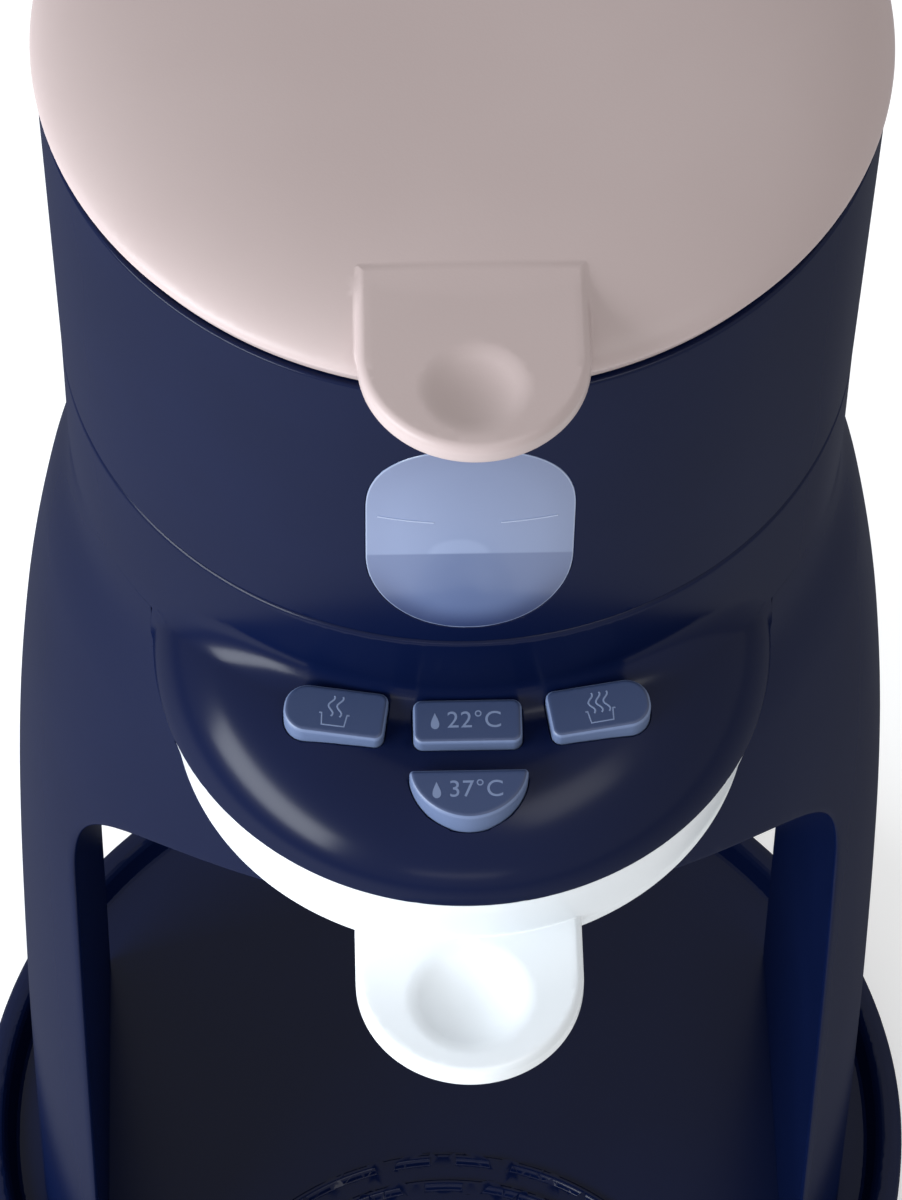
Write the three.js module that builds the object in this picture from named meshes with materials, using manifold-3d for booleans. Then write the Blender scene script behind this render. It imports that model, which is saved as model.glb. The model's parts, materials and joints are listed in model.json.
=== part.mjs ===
// Baby formula maker. A round water tank with a lift-off lid stands on the collar of an arched
// housing, over a tray for the bottle. The control head in front carries four keys and covers a
// pull-out mixing drawer, where water from the tank meets the powder and runs into the bottle.
// Millimetres, +Z up, front towards -Y. The tank's axis is x = 0, y = 0 until the last step.
import * as THREE from 'three';
import { mergeVertices } from 'three/addons/utils/BufferGeometryUtils.js';
import Module from 'manifold-3d';

const wasm = await Module();
wasm.setup();

// Fits and facets that all pieces share
const clearance = 0.3;
const overrun = 6;
const largeFacets = 40;
const mediumFacets = 16;
const smallFacets = 8;

// Main sizes, which the sizes of the other pieces follow
const tankFootRadius = 55.9;
const bellTopLevel = 240;
const headBackOffset = 12;
const tankHeight = 59;

// Arched housing: a bell with a straight tunnel through it from front to back
const bellTopRadius = tankFootRadius - clearance;
const bellSwell = 14.4;
const bellFootRadius = bellTopRadius + bellSwell;
const legWidth = 12.4;
const tunnelHalfWidth = bellFootRadius - legWidth;
const crownHeight = 39.5;
const tunnelCeilingLevel = bellTopLevel - crownHeight;
const tunnelArchRise = 45;
const tunnelArchPower = 3;
const tunnelDraft = 0.8;
const worksWall = 3;
const worksFloorWall = 3.2;
// Shares of the bell's height from its foot, each with the share of its swell that is left there
const bellSwellShares = [
  [0, 1], [0.29, 0.96], [0.58, 0.83], [0.76, 0.62], [0.885, 0.33], [0.955, 0.05], [1, 0],
];

// Base tray: a large round at the back and a smaller one round the bottle, joined by tangents
const footHeight = 2.2;
const footRadius = 7.5;
const footPegRadius = 2.6;
const trayMargin = 11;
const trayBackRadius = bellFootRadius + trayMargin;
const trayBackOffset = 3;
const trayFrontRadius = 57;
const trayHeight = 14.8;
const trayFloorDrop = 4;
const trayFloorWall = 2.2;
const trayRimWidth = 6.5;
const trayTuckIn = 5;
const trayWall = 2.6;
const bottomPlateWall = 1.8;
const bottleOffset = 49;
const bottleRingInset = 12;
const bottleRingRadius = trayFrontRadius - bottleRingInset;
const bottleRingStep = 5;
const bottleRingWidth = 1.8;
const bottleRingHeight = 1.1;
const platePocketInset = 11;
const platePocketRadius = bottleRingRadius - platePocketInset;
const plateThickness = 1.4;
const plateLedge = 3;
const elementInset = 11;
const elementRadius = platePocketRadius - elementInset;
const elementWidth = 8;
const elementHeight = 2.4;
const thermostatRadius = 7;
const screwHeadRadius = 3;
const screwHeadHeight = 1.2;
const screwShankRadius = 1.4;
const screwLength = 4.4;
const glandRadius = 2.9;
const glandBore = 2;
const glandLength = 9;
const glandFlange = 0.4;

// Collar and control head
const collarHeight = 22.6;
const collarTopLevel = bellTopLevel + collarHeight;
const collarWall = 3.2;
const collarLedge = 2.6;
const deckRecess = 5.7;
const deckThickness = 2.4;
const headStep = 12.2;
const headRadius = tankFootRadius - headStep;
const headCentreOffset = 36.8;
const headDrop = 6;
const headLowLevel = bellTopLevel - headDrop;
const headHeight = 12.6;
const headTopLevel = headLowLevel + headHeight;
const headTiltDegrees = 7;
const headRollWidth = 16;
const headPlateauReach = headCentreOffset + headRadius - headRollWidth;
const headWall = 2.6;
const headFillet = 5.5;
const underplateThickness = 1.6;
const underplatePostRadius = 2.2;
const spoutInset = 5.6;
const spoutOffset = tankFootRadius - collarWall - collarLedge - spoutInset;
const spoutRadius = 7.2;
const spoutHeight = 5;
const spoutHoleRadius = 0.8;
const spoutHoleRing = 4;
const spoutHoles = 6;

// Keys
const keyProud = 2.8;
const keyTravel = 1.2;
const keyBodyDepth = 3.6;
const keyFlange = 0.8;
const keyFlangeHeight = 0.8;
const keyEdgeRound = 0.9;
const sideKeyLength = headRadius * 0.325;
const sideKeyDepth = 7.2;
const sideKeyReach = headRadius * 0.4165;
const sideKeyBack = 1.8;
const sideKeyTurnDegrees = 9;
const coolKeyLength = headRadius * 0.3433;
const coolKeyDepth = 6.6;
const coolKeyBack = 4.7;
const coolKeyReach = headPlateauReach - coolKeyBack;
const warmKeyLength = headRadius * 0.3753;
const warmKeyDepth = 8.6;
const warmKeyAhead = 5.5;
const warmKeyReach = headPlateauReach + warmKeyAhead;
const keyCornerPower = 5;
const warmKeyPower = 2.5;
const boardThickness = 1.6;
const switchSize = 5.6;
const switchHeight = 1.6;
const switchButtonRadius = 1.6;
const switchButtonHeight = 0.6;

// Mixing drawer
const drawerTaper = 2.5;
const drawerHeight = 14;
const drawerWall = 2.2;
const drawerFloor = 2.4;
const funnelRadius = 23;
const funnelDrop = 12;
const outletRadius = 5.5;
const drawerTabHalfWidth = 15.9;
const drawerTabLength = 19.5;
const drawerTabReach = headCentreOffset + headRadius + drawerTabLength;
const drawerTabThickness = 4;
const drawerDimpleRadius = 8.1;
const drawerDimpleDepth = 2;
const drawerDimpleInset = 12.2;
const drawerDimpleReach = drawerTabReach - drawerDimpleInset;

// Tank and lid
const tankFlare = 0.8;
const tankTopRadius = tankFootRadius + tankFlare;
const sleeveWall = 1.8;
const vesselWall = 1.8;
const vesselFootRing = 2.2;
const windowHalfWidth = 13.9;
const windowSill = 3;
const windowHead = 12;
const windowHeight = tankHeight - windowSill - windowHead;
const windowEndHeight = 12;
const windowPower = 2.35;
const valveBore = 5;
const valveNeckWall = 2.4;
const valveNeckDrop = 9;
const valveHeadRadius = 6.6;
const valveHeadHeight = 1.8;
const valveStemRadius = 1.6;
const valveLift = 2;
const portWall = 2.2;
const portFloor = 1.8;
const portPinRadius = 1.4;
const portOutletRadius = 2.2;
const dockSealWidth = 1.8;
const lidOverhang = 0.5;
const lidRadius = tankTopRadius + lidOverhang;
const lidCrown = 6;
const lidCrownPower = 4.5;
const lidUndercut = 2.9;
const lidWall = 2.4;
const lidSkirtDepth = 5;
const lidSkirtWall = 1.8;
const lidTabHalfWidth = 14.9;
const lidTabLength = 13;
const lidTabReach = lidRadius + lidTabLength;
const lidTabLead = 16;
const lidTabStart = lidRadius - lidTabLead;
const lidTabThickness = 3.8;
const lidTabDrop = 0.9;
const lidDimpleRadius = 6.2;
const lidDimpleDepth = 1.5;
const lidDimpleInset = 9.5;
const lidDimpleReach = lidTabReach - lidDimpleInset;
const tabEdgeRound = 1.2;

// Water works behind the drawer: the heater and the pump fill shares of the room's depth and width
const worksFront = worksWall - headBackOffset;
const worksDepth = bellTopRadius - worksWall - worksFront;
const heaterRadius = worksDepth * 0.146;
const heaterLength = bellTopRadius * 0.9;
const heaterOffset = worksFront + worksDepth * 0.276;
const heaterCapWidth = 3;
const pumpRadius = worksDepth * 0.178;
const pumpLength = bellTopRadius * 0.79;
const pumpOffset = worksFront + worksDepth * 0.73;
const nippleRadius = 2.9;
const nippleLength = 3;
const cradleFloor = 2;
const cradleRibWidth = 4;
const cradleRibReach = 14;
const cradleSeatShare = 0.7;
const hoseRadius = 2.1;

// Levels worked out from the sizes above
const trayBottom = footHeight;
const trayRimLevel = trayBottom + trayHeight;
const trayFloorLevel = trayRimLevel - trayFloorDrop;
const bellFootLevel = trayFloorLevel + clearance;
const worksFloorLevel = tunnelCeilingLevel + worksFloorWall;
const drawerTopLevel = headLowLevel - clearance;
const drawerLowLevel = headLowLevel - drawerHeight;
const drawerFloorLevel = drawerLowLevel - drawerFloor;
const bayFloorLevel = drawerFloorLevel - clearance;
const collarBottomLevel = bellTopLevel + clearance;
const deckLevel = collarTopLevel - deckRecess + clearance;
const deckTop = deckLevel + deckThickness;
const tankFootLevel = collarTopLevel + clearance;
const tankTopLevel = tankFootLevel + tankHeight;
const vesselFloorLevel = tankFootLevel + vesselWall;
const lidSeatLevel = tankTopLevel + clearance;
const lidWidestLevel = lidSeatLevel + lidUndercut;
const headTilt = THREE.MathUtils.degToRad(headTiltDegrees);

// Materials
function plastic(color, roughness) {
  return new THREE.MeshStandardMaterial({ color, roughness, metalness: 0 });
}

function metal(color, roughness) {
  return new THREE.MeshStandardMaterial({ color, roughness, metalness: 1 });
}

const navyPlastic = plastic(0x1b2440, 0.42);
const pinkPlastic = plastic(0xcdb5ae, 0.45);
const whitePlastic = plastic(0xe9eef0, 0.3);
const keyPlastic = plastic(0x3c4769, 0.5);
const tintedPlastic = plastic(0x8c99ba, 0.2);
const darkRubber = plastic(0x1c1c20, 0.85);
const clearSilicone = plastic(0xd8dad6, 0.6);
const boardLaminate = plastic(0x1f5a38, 0.55);
const switchPlastic = plastic(0x232323, 0.6);
const castAluminium = metal(0xb4b6b8, 0.4);
const coatedSteel = metal(0x2a2b30, 0.5);
const plainSteel = metal(0x9a9b9d, 0.35);

// Solids and meshes
function toSolid(geometry) {
  const bare = geometry.clone();
  bare.deleteAttribute('normal');
  bare.deleteAttribute('uv');
  const welded = mergeVertices(bare);
  const corners = welded.attributes.position.array;
  const index = welded.index.array;
  const kept = [];
  let volume = 0;
  for (let at = 0; at < index.length; at += 3) {
    const [a, b, c] = index.slice(at, at + 3);
    if (a === b || b === c || c === a) continue;
    kept.push(a, b, c);
    const p = new THREE.Vector3().fromArray(corners, 3 * a);
    const q = new THREE.Vector3().fromArray(corners, 3 * b);
    const r = new THREE.Vector3().fromArray(corners, 3 * c);
    volume += p.dot(q.cross(r));
  }
  if (volume < 0) kept.reverse();
  const mesh = new wasm.Mesh({
    numProp: 3,
    vertProperties: new Float32Array(corners),
    triVerts: new Uint32Array(kept),
  });
  return new wasm.Manifold(mesh);
}

function toGeometry(solid) {
  const { vertProperties, triVerts } = solid.getMesh();
  const geometry = new THREE.BufferGeometry();
  geometry.setAttribute('position', new THREE.BufferAttribute(new Float32Array(vertProperties), 3));
  geometry.setIndex(new THREE.BufferAttribute(new Uint32Array(triVerts), 1));
  geometry.computeVertexNormals();
  return geometry;
}

function joined(first, ...others) {
  return others.reduce((whole, piece) => whole.add(piece), first);
}

function cut(body, ...tools) {
  return tools.reduce((rest, tool) => rest.subtract(tool), body);
}

// A solid of revolution from [radius, level] points, about the tank's axis or an upright axis at (x, y)
function revolve(profile, facets, x = 0, y = 0) {
  const points = profile.map(([radius, level]) => new THREE.Vector2(radius, level));
  const geometry = new THREE.LatheGeometry(points, facets);
  return toSolid(geometry.rotateX(Math.PI / 2).translate(x, y, 0));
}

function disc(radius, bottom, top, facets, x = 0, y = 0) {
  return revolve([[0, bottom], [radius, bottom], [radius, top], [0, top]], facets, x, y);
}

function ring(outer, inner, bottom, top, facets, x = 0, y = 0) {
  const profile = [[inner, bottom], [outer, bottom], [outer, top], [inner, top], [inner, bottom]];
  return revolve(profile, facets, x, y);
}

function bar(radius, from, to, facets) {
  const span = new THREE.Vector3().subVectors(to, from);
  const geometry = new THREE.CylinderGeometry(radius, radius, span.length(), facets);
  const up = new THREE.Vector3(0, 1, 0);
  geometry.applyQuaternion(new THREE.Quaternion().setFromUnitVectors(up, span.clone().normalize()));
  const middle = from.clone().add(to).divideScalar(2);
  return toSolid(geometry.translate(middle.x, middle.y, middle.z));
}

function block(x0, x1, y0, y1, z0, z1) {
  const geometry = new THREE.BoxGeometry(x1 - x0, y1 - y0, z1 - z0);
  return toSolid(geometry.translate((x0 + x1) / 2, (y0 + y1) / 2, (z0 + z1) / 2));
}

// A closed skin over rings of equally many points, with a flat face on the first and the last ring
function loft(rings, flatten = ({ x, y }) => new THREE.Vector2(x, y)) {
  const count = rings[0].length;
  const corners = rings.flat().flatMap((point) => [point.x, point.y, point.z]);
  const faces = [];
  for (let level = 0; level + 1 < rings.length; level += 1) {
    for (let at = 0; at < count; at += 1) {
      const a = level * count + at;
      const b = level * count + ((at + 1) % count);
      faces.push(a, b, b + count, a, b + count, a + count);
    }
  }
  const lastStart = (rings.length - 1) * count;
  for (const [a, b, c] of THREE.ShapeUtils.triangulateShape(rings[0].map(flatten), [])) {
    faces.push(c, b, a);
  }
  for (const [a, b, c] of THREE.ShapeUtils.triangulateShape(rings.at(-1).map(flatten), [])) {
    faces.push(lastStart + a, lastStart + b, lastStart + c);
  }
  const geometry = new THREE.BufferGeometry();
  geometry.setAttribute('position', new THREE.Float32BufferAttribute(corners, 3));
  geometry.setIndex(faces);
  return toSolid(geometry);
}

function atLevel(outline, level) {
  return outline.map(({ x, y }) => new THREE.Vector3(x, y, level));
}

function prism(outline, bottom, top) {
  return loft([atLevel(outline, bottom), atLevel(outline, top)]);
}

// A prism whose outline lies in the x-z plane, from one depth to another
function prismFrontToBack(outline, front, back) {
  const ringAt = (depth) => outline.map(({ x, y }) => new THREE.Vector3(x, depth, y));
  return loft([ringAt(back), ringAt(front)], ({ x, z }) => new THREE.Vector2(x, z));
}

function arc(centreX, centreY, radius, from, to, steps) {
  return Array.from({ length: steps + 1 }, (_, step) => {
    const angle = from + ((to - from) * step) / steps;
    return new THREE.Vector2(centreX + radius * Math.cos(angle), centreY + radius * Math.sin(angle));
  });
}

// The closed curve |x/a|^p + |y/b|^p = 1, as points
function superellipse(halfWidth, halfHeight, power, steps) {
  return Array.from({ length: steps }, (_, step) => {
    const angle = (2 * Math.PI * step) / steps;
    const across = Math.cos(angle);
    const along = Math.sin(angle);
    return new THREE.Vector2(
      halfWidth * Math.sign(across) * Math.abs(across) ** (2 / power),
      halfHeight * Math.sign(along) * Math.abs(along) ** (2 / power),
    );
  });
}

// A slab with a rounded upper and lower edge, from an outline that is drawn for any inset
function pillow(outlineAt, bottom, top, round, steps = 2) {
  const rings = [];
  for (let step = 0; step <= steps; step += 1) {
    const angle = (Math.PI / 2) * (step / steps);
    rings.push(atLevel(outlineAt(round * (1 - Math.sin(angle))), bottom + round * (1 - Math.cos(angle))));
  }
  for (let step = 0; step <= steps; step += 1) {
    const angle = (Math.PI / 2) * (step / steps);
    rings.push(atLevel(outlineAt(round * (1 - Math.cos(angle))), top - round * (1 - Math.sin(angle))));
  }
  return loft(rings);
}

// A shallow round hollow in a level face: the part of a sphere that dips below it
function dimple(radius, depth, y, level) {
  const sphereRadius = (radius ** 2 + depth ** 2) / (2 * depth);
  const opening = Math.asin(radius / sphereRadius);
  const steps = 4;
  const profile = [[0, level - depth]];
  for (let step = 1; step <= steps; step += 1) {
    const angle = (opening * step) / steps;
    profile.push([sphereRadius * Math.sin(angle), level - depth + sphereRadius * (1 - Math.cos(angle))]);
  }
  profile.push([radius, level + overrun], [0, level + overrun]);
  return revolve(profile, mediumFacets, 0, y);
}

// A tongue for the finger: straight sides and a round end towards the front
function tongueOutline(halfWidth, reach, start, inset) {
  const centre = reach - halfWidth;
  const round = arc(0, -centre, halfWidth - inset, Math.PI, 2 * Math.PI, smallFacets);
  const corners = [new THREE.Vector2(halfWidth - inset, -start),
    new THREE.Vector2(inset - halfWidth, -start)];
  return [...round, ...corners];
}

const machine = new THREE.Group();

function add(name, solid, material, parent = machine) {
  const mesh = new THREE.Mesh(toGeometry(solid), material);
  mesh.name = name;
  parent.add(mesh);
}

// Base tray

// The tray's plan: the back arc, the front arc and the two straight tangents between them
function trayOutline(inset) {
  const spacing = trayBackOffset + bottleOffset;
  const tangent = Math.asin((trayBackRadius - trayFrontRadius) / spacing);
  const frontArc = arc(0, -bottleOffset, trayFrontRadius - inset, Math.PI + tangent,
    2 * Math.PI - tangent, 12);
  const backArc = arc(0, trayBackOffset, trayBackRadius - inset, -tangent, Math.PI + tangent, 24);
  return [...frontArc, ...backArc];
}

function traySolid() {
  const lift = trayRimLevel - trayBottom;
  // Shares of the tuck and the height on the way up outside
  const outsideShares = [[1, 0], [0.35, 0.16], [0.06, 0.4], [0, 0.62]];
  // Shares of the rim's width and of its height above the tray's floor, over the top and down inside
  const rimShares = [[0.07, 0.62], [0.24, 0.92], [0.42, 1], [0.58, 0.97], [0.74, 0.75], [0.9, 0.22], [1, 0]];
  const rings = [
    ...outsideShares.map(([tuck, rise]) =>
      atLevel(trayOutline(trayTuckIn * tuck), trayBottom + lift * rise)),
    ...rimShares.map(([across, rise]) =>
      atLevel(trayOutline(trayRimWidth * across), trayFloorLevel + trayFloorDrop * rise)),
  ];
  return loft(rings);
}

function bottleRing(radius) {
  const half = bottleRingWidth / 2;
  const profile = [[radius - half, trayFloorLevel - half]];
  for (let step = 0; step <= 3; step += 1) {
    const angle = Math.PI - (Math.PI * step) / 3;
    profile.push([radius + half * Math.cos(angle), trayFloorLevel + bottleRingHeight * Math.sin(angle)]);
  }
  profile.push([radius + half, trayFloorLevel - half], [radius - half, trayFloorLevel - half]);
  return revolve(profile, largeFacets, 0, -bottleOffset);
}

const plateLevel = trayFloorLevel - plateThickness;
// Shares of the tray's back radius, across and along
const screwShares = [[-0.72, 0.1], [0.72, 0.1], [-0.26, 0.72], [0.26, 0.72]];
const backFootShares = [[-0.66, 0.46], [0.66, 0.46]];
// Shares of the tray's front radius, across and along from the bottle's axis
const frontFootShares = [[-0.6, -0.28], [0.6, -0.28]];
const placeOnTray = ([across, along]) => [across * trayBackRadius, along * trayBackRadius];
const placeByBottle = ([across, along]) =>
  [across * trayFrontRadius, along * trayFrontRadius - bottleOffset];
const screwPlaces = screwShares.map(placeOnTray);
const footPlaces = [...backFootShares.map(placeOnTray), ...frontFootShares.map(placeByBottle)];

function baseTray() {
  const insideTop = trayFloorLevel - trayFloorWall;
  const inside = prism(trayOutline(trayTuckIn + trayWall), trayBottom - overrun, insideTop);
  const shell = cut(traySolid(), inside);
  const rings = [bottleRing(bottleRingRadius), bottleRing(bottleRingRadius - bottleRingStep)];
  const bosses = screwPlaces.map(([x, y]) =>
    disc(screwShankRadius * 2, trayBottom + bottomPlateWall + 2 * clearance, trayFloorLevel - clearance,
      smallFacets, x, y));
  const pocket = disc(platePocketRadius + clearance, plateLevel - clearance, trayRimLevel, largeFacets,
    0, -bottleOffset);
  const hole = disc(platePocketRadius - plateLedge, trayBottom, trayRimLevel, largeFacets, 0, -bottleOffset);
  const pilots = screwPlaces.map(([x, y]) =>
    disc(screwShankRadius + clearance, trayBottom, trayBottom + screwLength + 2 * clearance, smallFacets,
      x, y));
  const backEdge = trayBackOffset + trayBackRadius;
  const glandLevel = (trayBottom + bottomPlateWall + insideTop) / 2;
  const glandHole = bar(glandRadius + clearance,
    new THREE.Vector3(0, backEdge - glandLength - overrun, glandLevel),
    new THREE.Vector3(0, backEdge + overrun, glandLevel), smallFacets);
  return cut(joined(shell, ...rings, ...bosses), pocket, hole, glandHole, ...pilots);
}

function basePlate() {
  const outline = trayOutline(trayTuckIn + trayWall + clearance);
  const plate = prism(outline, trayBottom, trayBottom + bottomPlateWall);
  const pegHoles = footPlaces.map(([x, y]) =>
    disc(footPegRadius + clearance, trayBottom - overrun, trayBottom + overrun, smallFacets, x, y));
  const screwHoles = screwPlaces.map(([x, y]) => joined(
    disc(screwShankRadius + clearance, trayBottom - overrun, trayBottom + overrun, smallFacets, x, y),
    disc(screwHeadRadius + clearance, trayBottom - overrun, trayBottom + screwHeadHeight, smallFacets, x, y),
  ));
  return cut(plate, ...pegHoles, ...screwHoles);
}

function rubberFoot([x, y]) {
  const pad = disc(footRadius, 0, footHeight - clearance, mediumFacets, x, y);
  const peg = disc(footPegRadius, footHeight - 2 * clearance, trayBottom + bottomPlateWall, smallFacets,
    x, y);
  return joined(pad, peg);
}

function plateScrew([x, y]) {
  const head = trayBottom + clearance;
  const profile = [
    [0, head], [screwHeadRadius, head], [screwHeadRadius, head + screwHeadHeight - clearance * 2],
    [screwShankRadius, head + screwHeadHeight - clearance], [screwShankRadius, head + screwLength],
    [0, head + screwLength],
  ];
  return revolve(profile, smallFacets, x, y);
}

function warmingPlate() {
  const edge = plateThickness / 3;
  const top = plateLevel + plateThickness;
  const profile = [
    [0, plateLevel], [platePocketRadius, plateLevel], [platePocketRadius, top - edge],
    [platePocketRadius - edge, top], [0, top],
  ];
  return revolve(profile, largeFacets, 0, -bottleOffset);
}

function heatingElement() {
  const top = plateLevel - clearance;
  const tube = ring(elementRadius + elementWidth / 2, elementRadius - elementWidth / 2,
    top - elementHeight, top,
    mediumFacets, 0, -bottleOffset);
  const gapHalf = elementWidth / 2;
  const back = elementRadius - bottleOffset;
  return cut(tube, block(-gapHalf, gapHalf, back - elementWidth, back + elementWidth, trayBottom,
    trayRimLevel));
}

function cordGland() {
  const backEdge = trayBackOffset + trayBackRadius;
  const level = (trayBottom + bottomPlateWall + trayFloorLevel - trayFloorWall) / 2;
  const inner = backEdge - glandLength;
  const body = bar(glandRadius, new THREE.Vector3(0, inner, level),
    new THREE.Vector3(0, backEdge, level), smallFacets);
  const bore = bar(glandBore, new THREE.Vector3(0, inner - overrun, level),
    new THREE.Vector3(0, backEdge + overrun, level), smallFacets);
  const lip = bar(glandRadius + glandFlange, new THREE.Vector3(0, inner - glandFlange, level),
    new THREE.Vector3(0, inner, level), smallFacets);
  return cut(joined(body, lip), bore);
}

// Arched housing

// The bell's outer radius at each level, on a smooth curve through its shares
function bellProfile() {
  const height = bellTopLevel - bellFootLevel;
  const swell = bellFootRadius - bellTopRadius;
  const curve = new THREE.SplineCurve(bellSwellShares.map(
    ([rise, left]) => new THREE.Vector2(bellTopRadius + swell * left, bellFootLevel + height * rise),
  ));
  return curve.getPoints(15).map(({ x, y }) => [x, y]);
}

function tunnelOutline() {
  const spring = tunnelCeilingLevel - tunnelArchRise;
  const foot = bellFootLevel - overrun;
  const arch = superellipse(tunnelHalfWidth, tunnelArchRise, tunnelArchPower, 40)
    .filter(({ y }) => y > -clearance / 2)
    .map(({ x, y }) => new THREE.Vector2(x, spring + Math.max(y, 0)));
  const wide = tunnelHalfWidth + tunnelDraft;
  return [new THREE.Vector2(wide, foot), ...arch, new THREE.Vector2(-wide, foot)];
}

function headOutline(inset, back = headBackOffset) {
  const round = arc(0, -headCentreOffset, headRadius - inset, Math.PI, 2 * Math.PI, 20);
  const side = headRadius - inset;
  return [...round, new THREE.Vector2(side, -back), new THREE.Vector2(-side, -back)];
}

function archHousing() {
  const profile = bellProfile();
  const bell = revolve([[0, bellFootLevel], ...profile, [0, bellTopLevel]], largeFacets);
  const reach = bellFootRadius + overrun;
  const tunnel = prismFrontToBack(tunnelOutline(), -reach, reach);
  const bay = prism(headOutline(-2 * clearance, headBackOffset - clearance), bayFloorLevel,
    bellTopLevel + overrun);
  const troughHalf = funnelRadius + drawerWall + 2 * clearance;
  const troughRound = arc(0, -headCentreOffset - clearance, troughHalf, 0, Math.PI, mediumFacets / 2);
  const troughOutline = [
    new THREE.Vector2(-troughHalf, -reach), new THREE.Vector2(troughHalf, -reach), ...troughRound,
  ];
  const trough = prism(troughOutline, tunnelCeilingLevel - overrun, bellTopLevel);
  const inner = profile
    .filter(([, level]) => level > worksFloorLevel)
    .map(([radius, level]) => [radius - worksWall, level]);
  const mouth = inner.at(-1)[0];
  const widest = inner[0][0];
  const works = revolve([[0, worksFloorLevel], [widest, worksFloorLevel], ...inner,
    [mouth, bellTopLevel + overrun], [0, bellTopLevel + overrun]], largeFacets);
  const behindBay = block(-reach, reach, worksFront, reach, worksFloorLevel - overrun,
    bellTopLevel + 2 * overrun);
  return cut(bell, tunnel, bay, trough, works.intersect(behindBay));
}

// Collar and control head

// The height of the head's sloping top at depth y
function plateauLevel(y, drop = 0) {
  return headTopLevel + Math.tan(headTilt) * (y + headPlateauReach) - drop;
}

// The head's pillow form: vertical at its low edge, rolling over onto the sloping top
function headForm(inset, drop, bottom, steps) {
  const rings = [headOutline(inset).map(({ x, y }) => new THREE.Vector3(x, y, bottom))];
  for (let step = 0; step <= steps; step += 1) {
    const angle = (Math.PI / 2) * (step / steps);
    const outline = headOutline(inset + headRollWidth * (1 - Math.cos(angle)));
    rings.push(outline.map(({ x, y }) => {
      const rise = (plateauLevel(y, drop) - headLowLevel) * Math.sin(angle);
      return new THREE.Vector3(x, y, headLowLevel + rise);
    }));
  }
  if (bottom === headLowLevel) rings.shift();
  return loft(rings);
}

// The hollow curve where the collar's wall runs out onto the head's top
function headCollarFillet() {
  const outer = tankFootRadius + headFillet;
  const steps = 4;
  const bottom = headLowLevel + headWall;
  const top = headTopLevel + headFillet;
  const profile = [[tankFootRadius - collarWall, bottom], [outer, bottom]];
  for (let step = 0; step <= steps; step += 1) {
    const angle = (Math.PI / 2) * (step / steps);
    profile.push([outer - headFillet * Math.sin(angle), top - headFillet * Math.cos(angle)]);
  }
  profile.push([tankFootRadius - collarWall, top], [tankFootRadius - collarWall, bottom]);
  const overHead = prism(headOutline(headRollWidth * 0.3), bottom - clearance, top + clearance);
  return revolve(profile, largeFacets).intersect(overHead);
}

// Keys lie in a frame on the head's top: its x and y follow the top's slope, z is the keys' axis
const keyFrame = new THREE.Group();
keyFrame.position.set(0, -headPlateauReach, headTopLevel);
keyFrame.rotation.x = headTilt;

function roundedBar(length, depth, inset) {
  return superellipse(length / 2 - inset, depth / 2 - inset, keyCornerPower, 20);
}

function placed(outline, x, y, turn) {
  return outline.map((point) =>
    point.clone().rotateAround(new THREE.Vector2(0, 0), turn).add(new THREE.Vector2(x, y)));
}

// A half round with a flat back edge, its corners eased
function warmKeyOutline(inset) {
  const half = warmKeyLength / 2;
  return superellipse(half - inset, warmKeyDepth - inset * 2, warmKeyPower, 28)
    .filter(({ y }) => y < clearance / 2)
    .map(({ x, y }) => new THREE.Vector2(x, Math.min(y, 0) + warmKeyDepth / 2 - inset));
}

const sideTurn = THREE.MathUtils.degToRad(sideKeyTurnDegrees);
const frontOf = (reach) => (headPlateauReach - reach) / Math.cos(headTilt);
const sideKeyAlong = frontOf(coolKeyReach) + sideKeyBack;
const keys = [
  { name: 'steam_warm_key', x: -sideKeyReach, y: sideKeyAlong, outlineAt: (inset) =>
    placed(roundedBar(sideKeyLength, sideKeyDepth, inset), -sideKeyReach, sideKeyAlong, -sideTurn) },
  { name: 'steam_sterilise_key', x: sideKeyReach, y: sideKeyAlong, outlineAt: (inset) =>
    placed(roundedBar(sideKeyLength, sideKeyDepth, inset), sideKeyReach, sideKeyAlong, sideTurn) },
  { name: 'cool_water_key', x: 0, y: frontOf(coolKeyReach), outlineAt: (inset) =>
    placed(roundedBar(coolKeyLength, coolKeyDepth, inset), 0, frontOf(coolKeyReach), 0) },
  { name: 'warm_water_key', x: 0, y: frontOf(warmKeyReach), outlineAt: (inset) =>
    placed(warmKeyOutline(inset), 0, frontOf(warmKeyReach), 0) },
];

function keySolid({ outlineAt }) {
  const skirtBottom = -keyBodyDepth;
  const cap = pillow(outlineAt, skirtBottom, keyProud, keyEdgeRound);
  const flange = prism(outlineAt(-keyFlange), skirtBottom, skirtBottom + keyFlangeHeight);
  return joined(cap, flange);
}

function keyOpening({ outlineAt }) {
  const through = prism(outlineAt(-clearance), -keyBodyDepth - overrun, keyProud + overrun);
  const flangeRoom = prism(outlineAt(-keyFlange - clearance), -keyBodyDepth - overrun,
    -keyBodyDepth + keyFlangeHeight + clearance);
  return joined(through, flangeRoom)
    .rotate([headTiltDegrees, 0, 0])
    .translate([0, -headPlateauReach, headTopLevel]);
}

function headHousing() {
  const boreRadius = tankFootRadius - collarWall;
  const collar = disc(tankFootRadius, collarBottomLevel, collarTopLevel, largeFacets);
  const head = headForm(0, 0, headLowLevel, 5);
  const recess = disc(boreRadius, collarTopLevel - deckRecess, collarTopLevel + overrun, largeFacets);
  const bore = disc(boreRadius - collarLedge, headLowLevel - overrun, collarTopLevel, largeFacets);
  const hollow = headForm(headWall, headWall, headLowLevel - overrun, 3);
  return cut(joined(collar, head, headCollarFillet()), recess, bore, hollow, ...keys.map(keyOpening));
}

const underplateLevel = headLowLevel + clearance;
const underplateTop = underplateLevel + underplateThickness;
const boardDrop = keyBodyDepth + keyTravel + 2 * clearance + switchButtonHeight + switchHeight
  + boardThickness;
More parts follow.
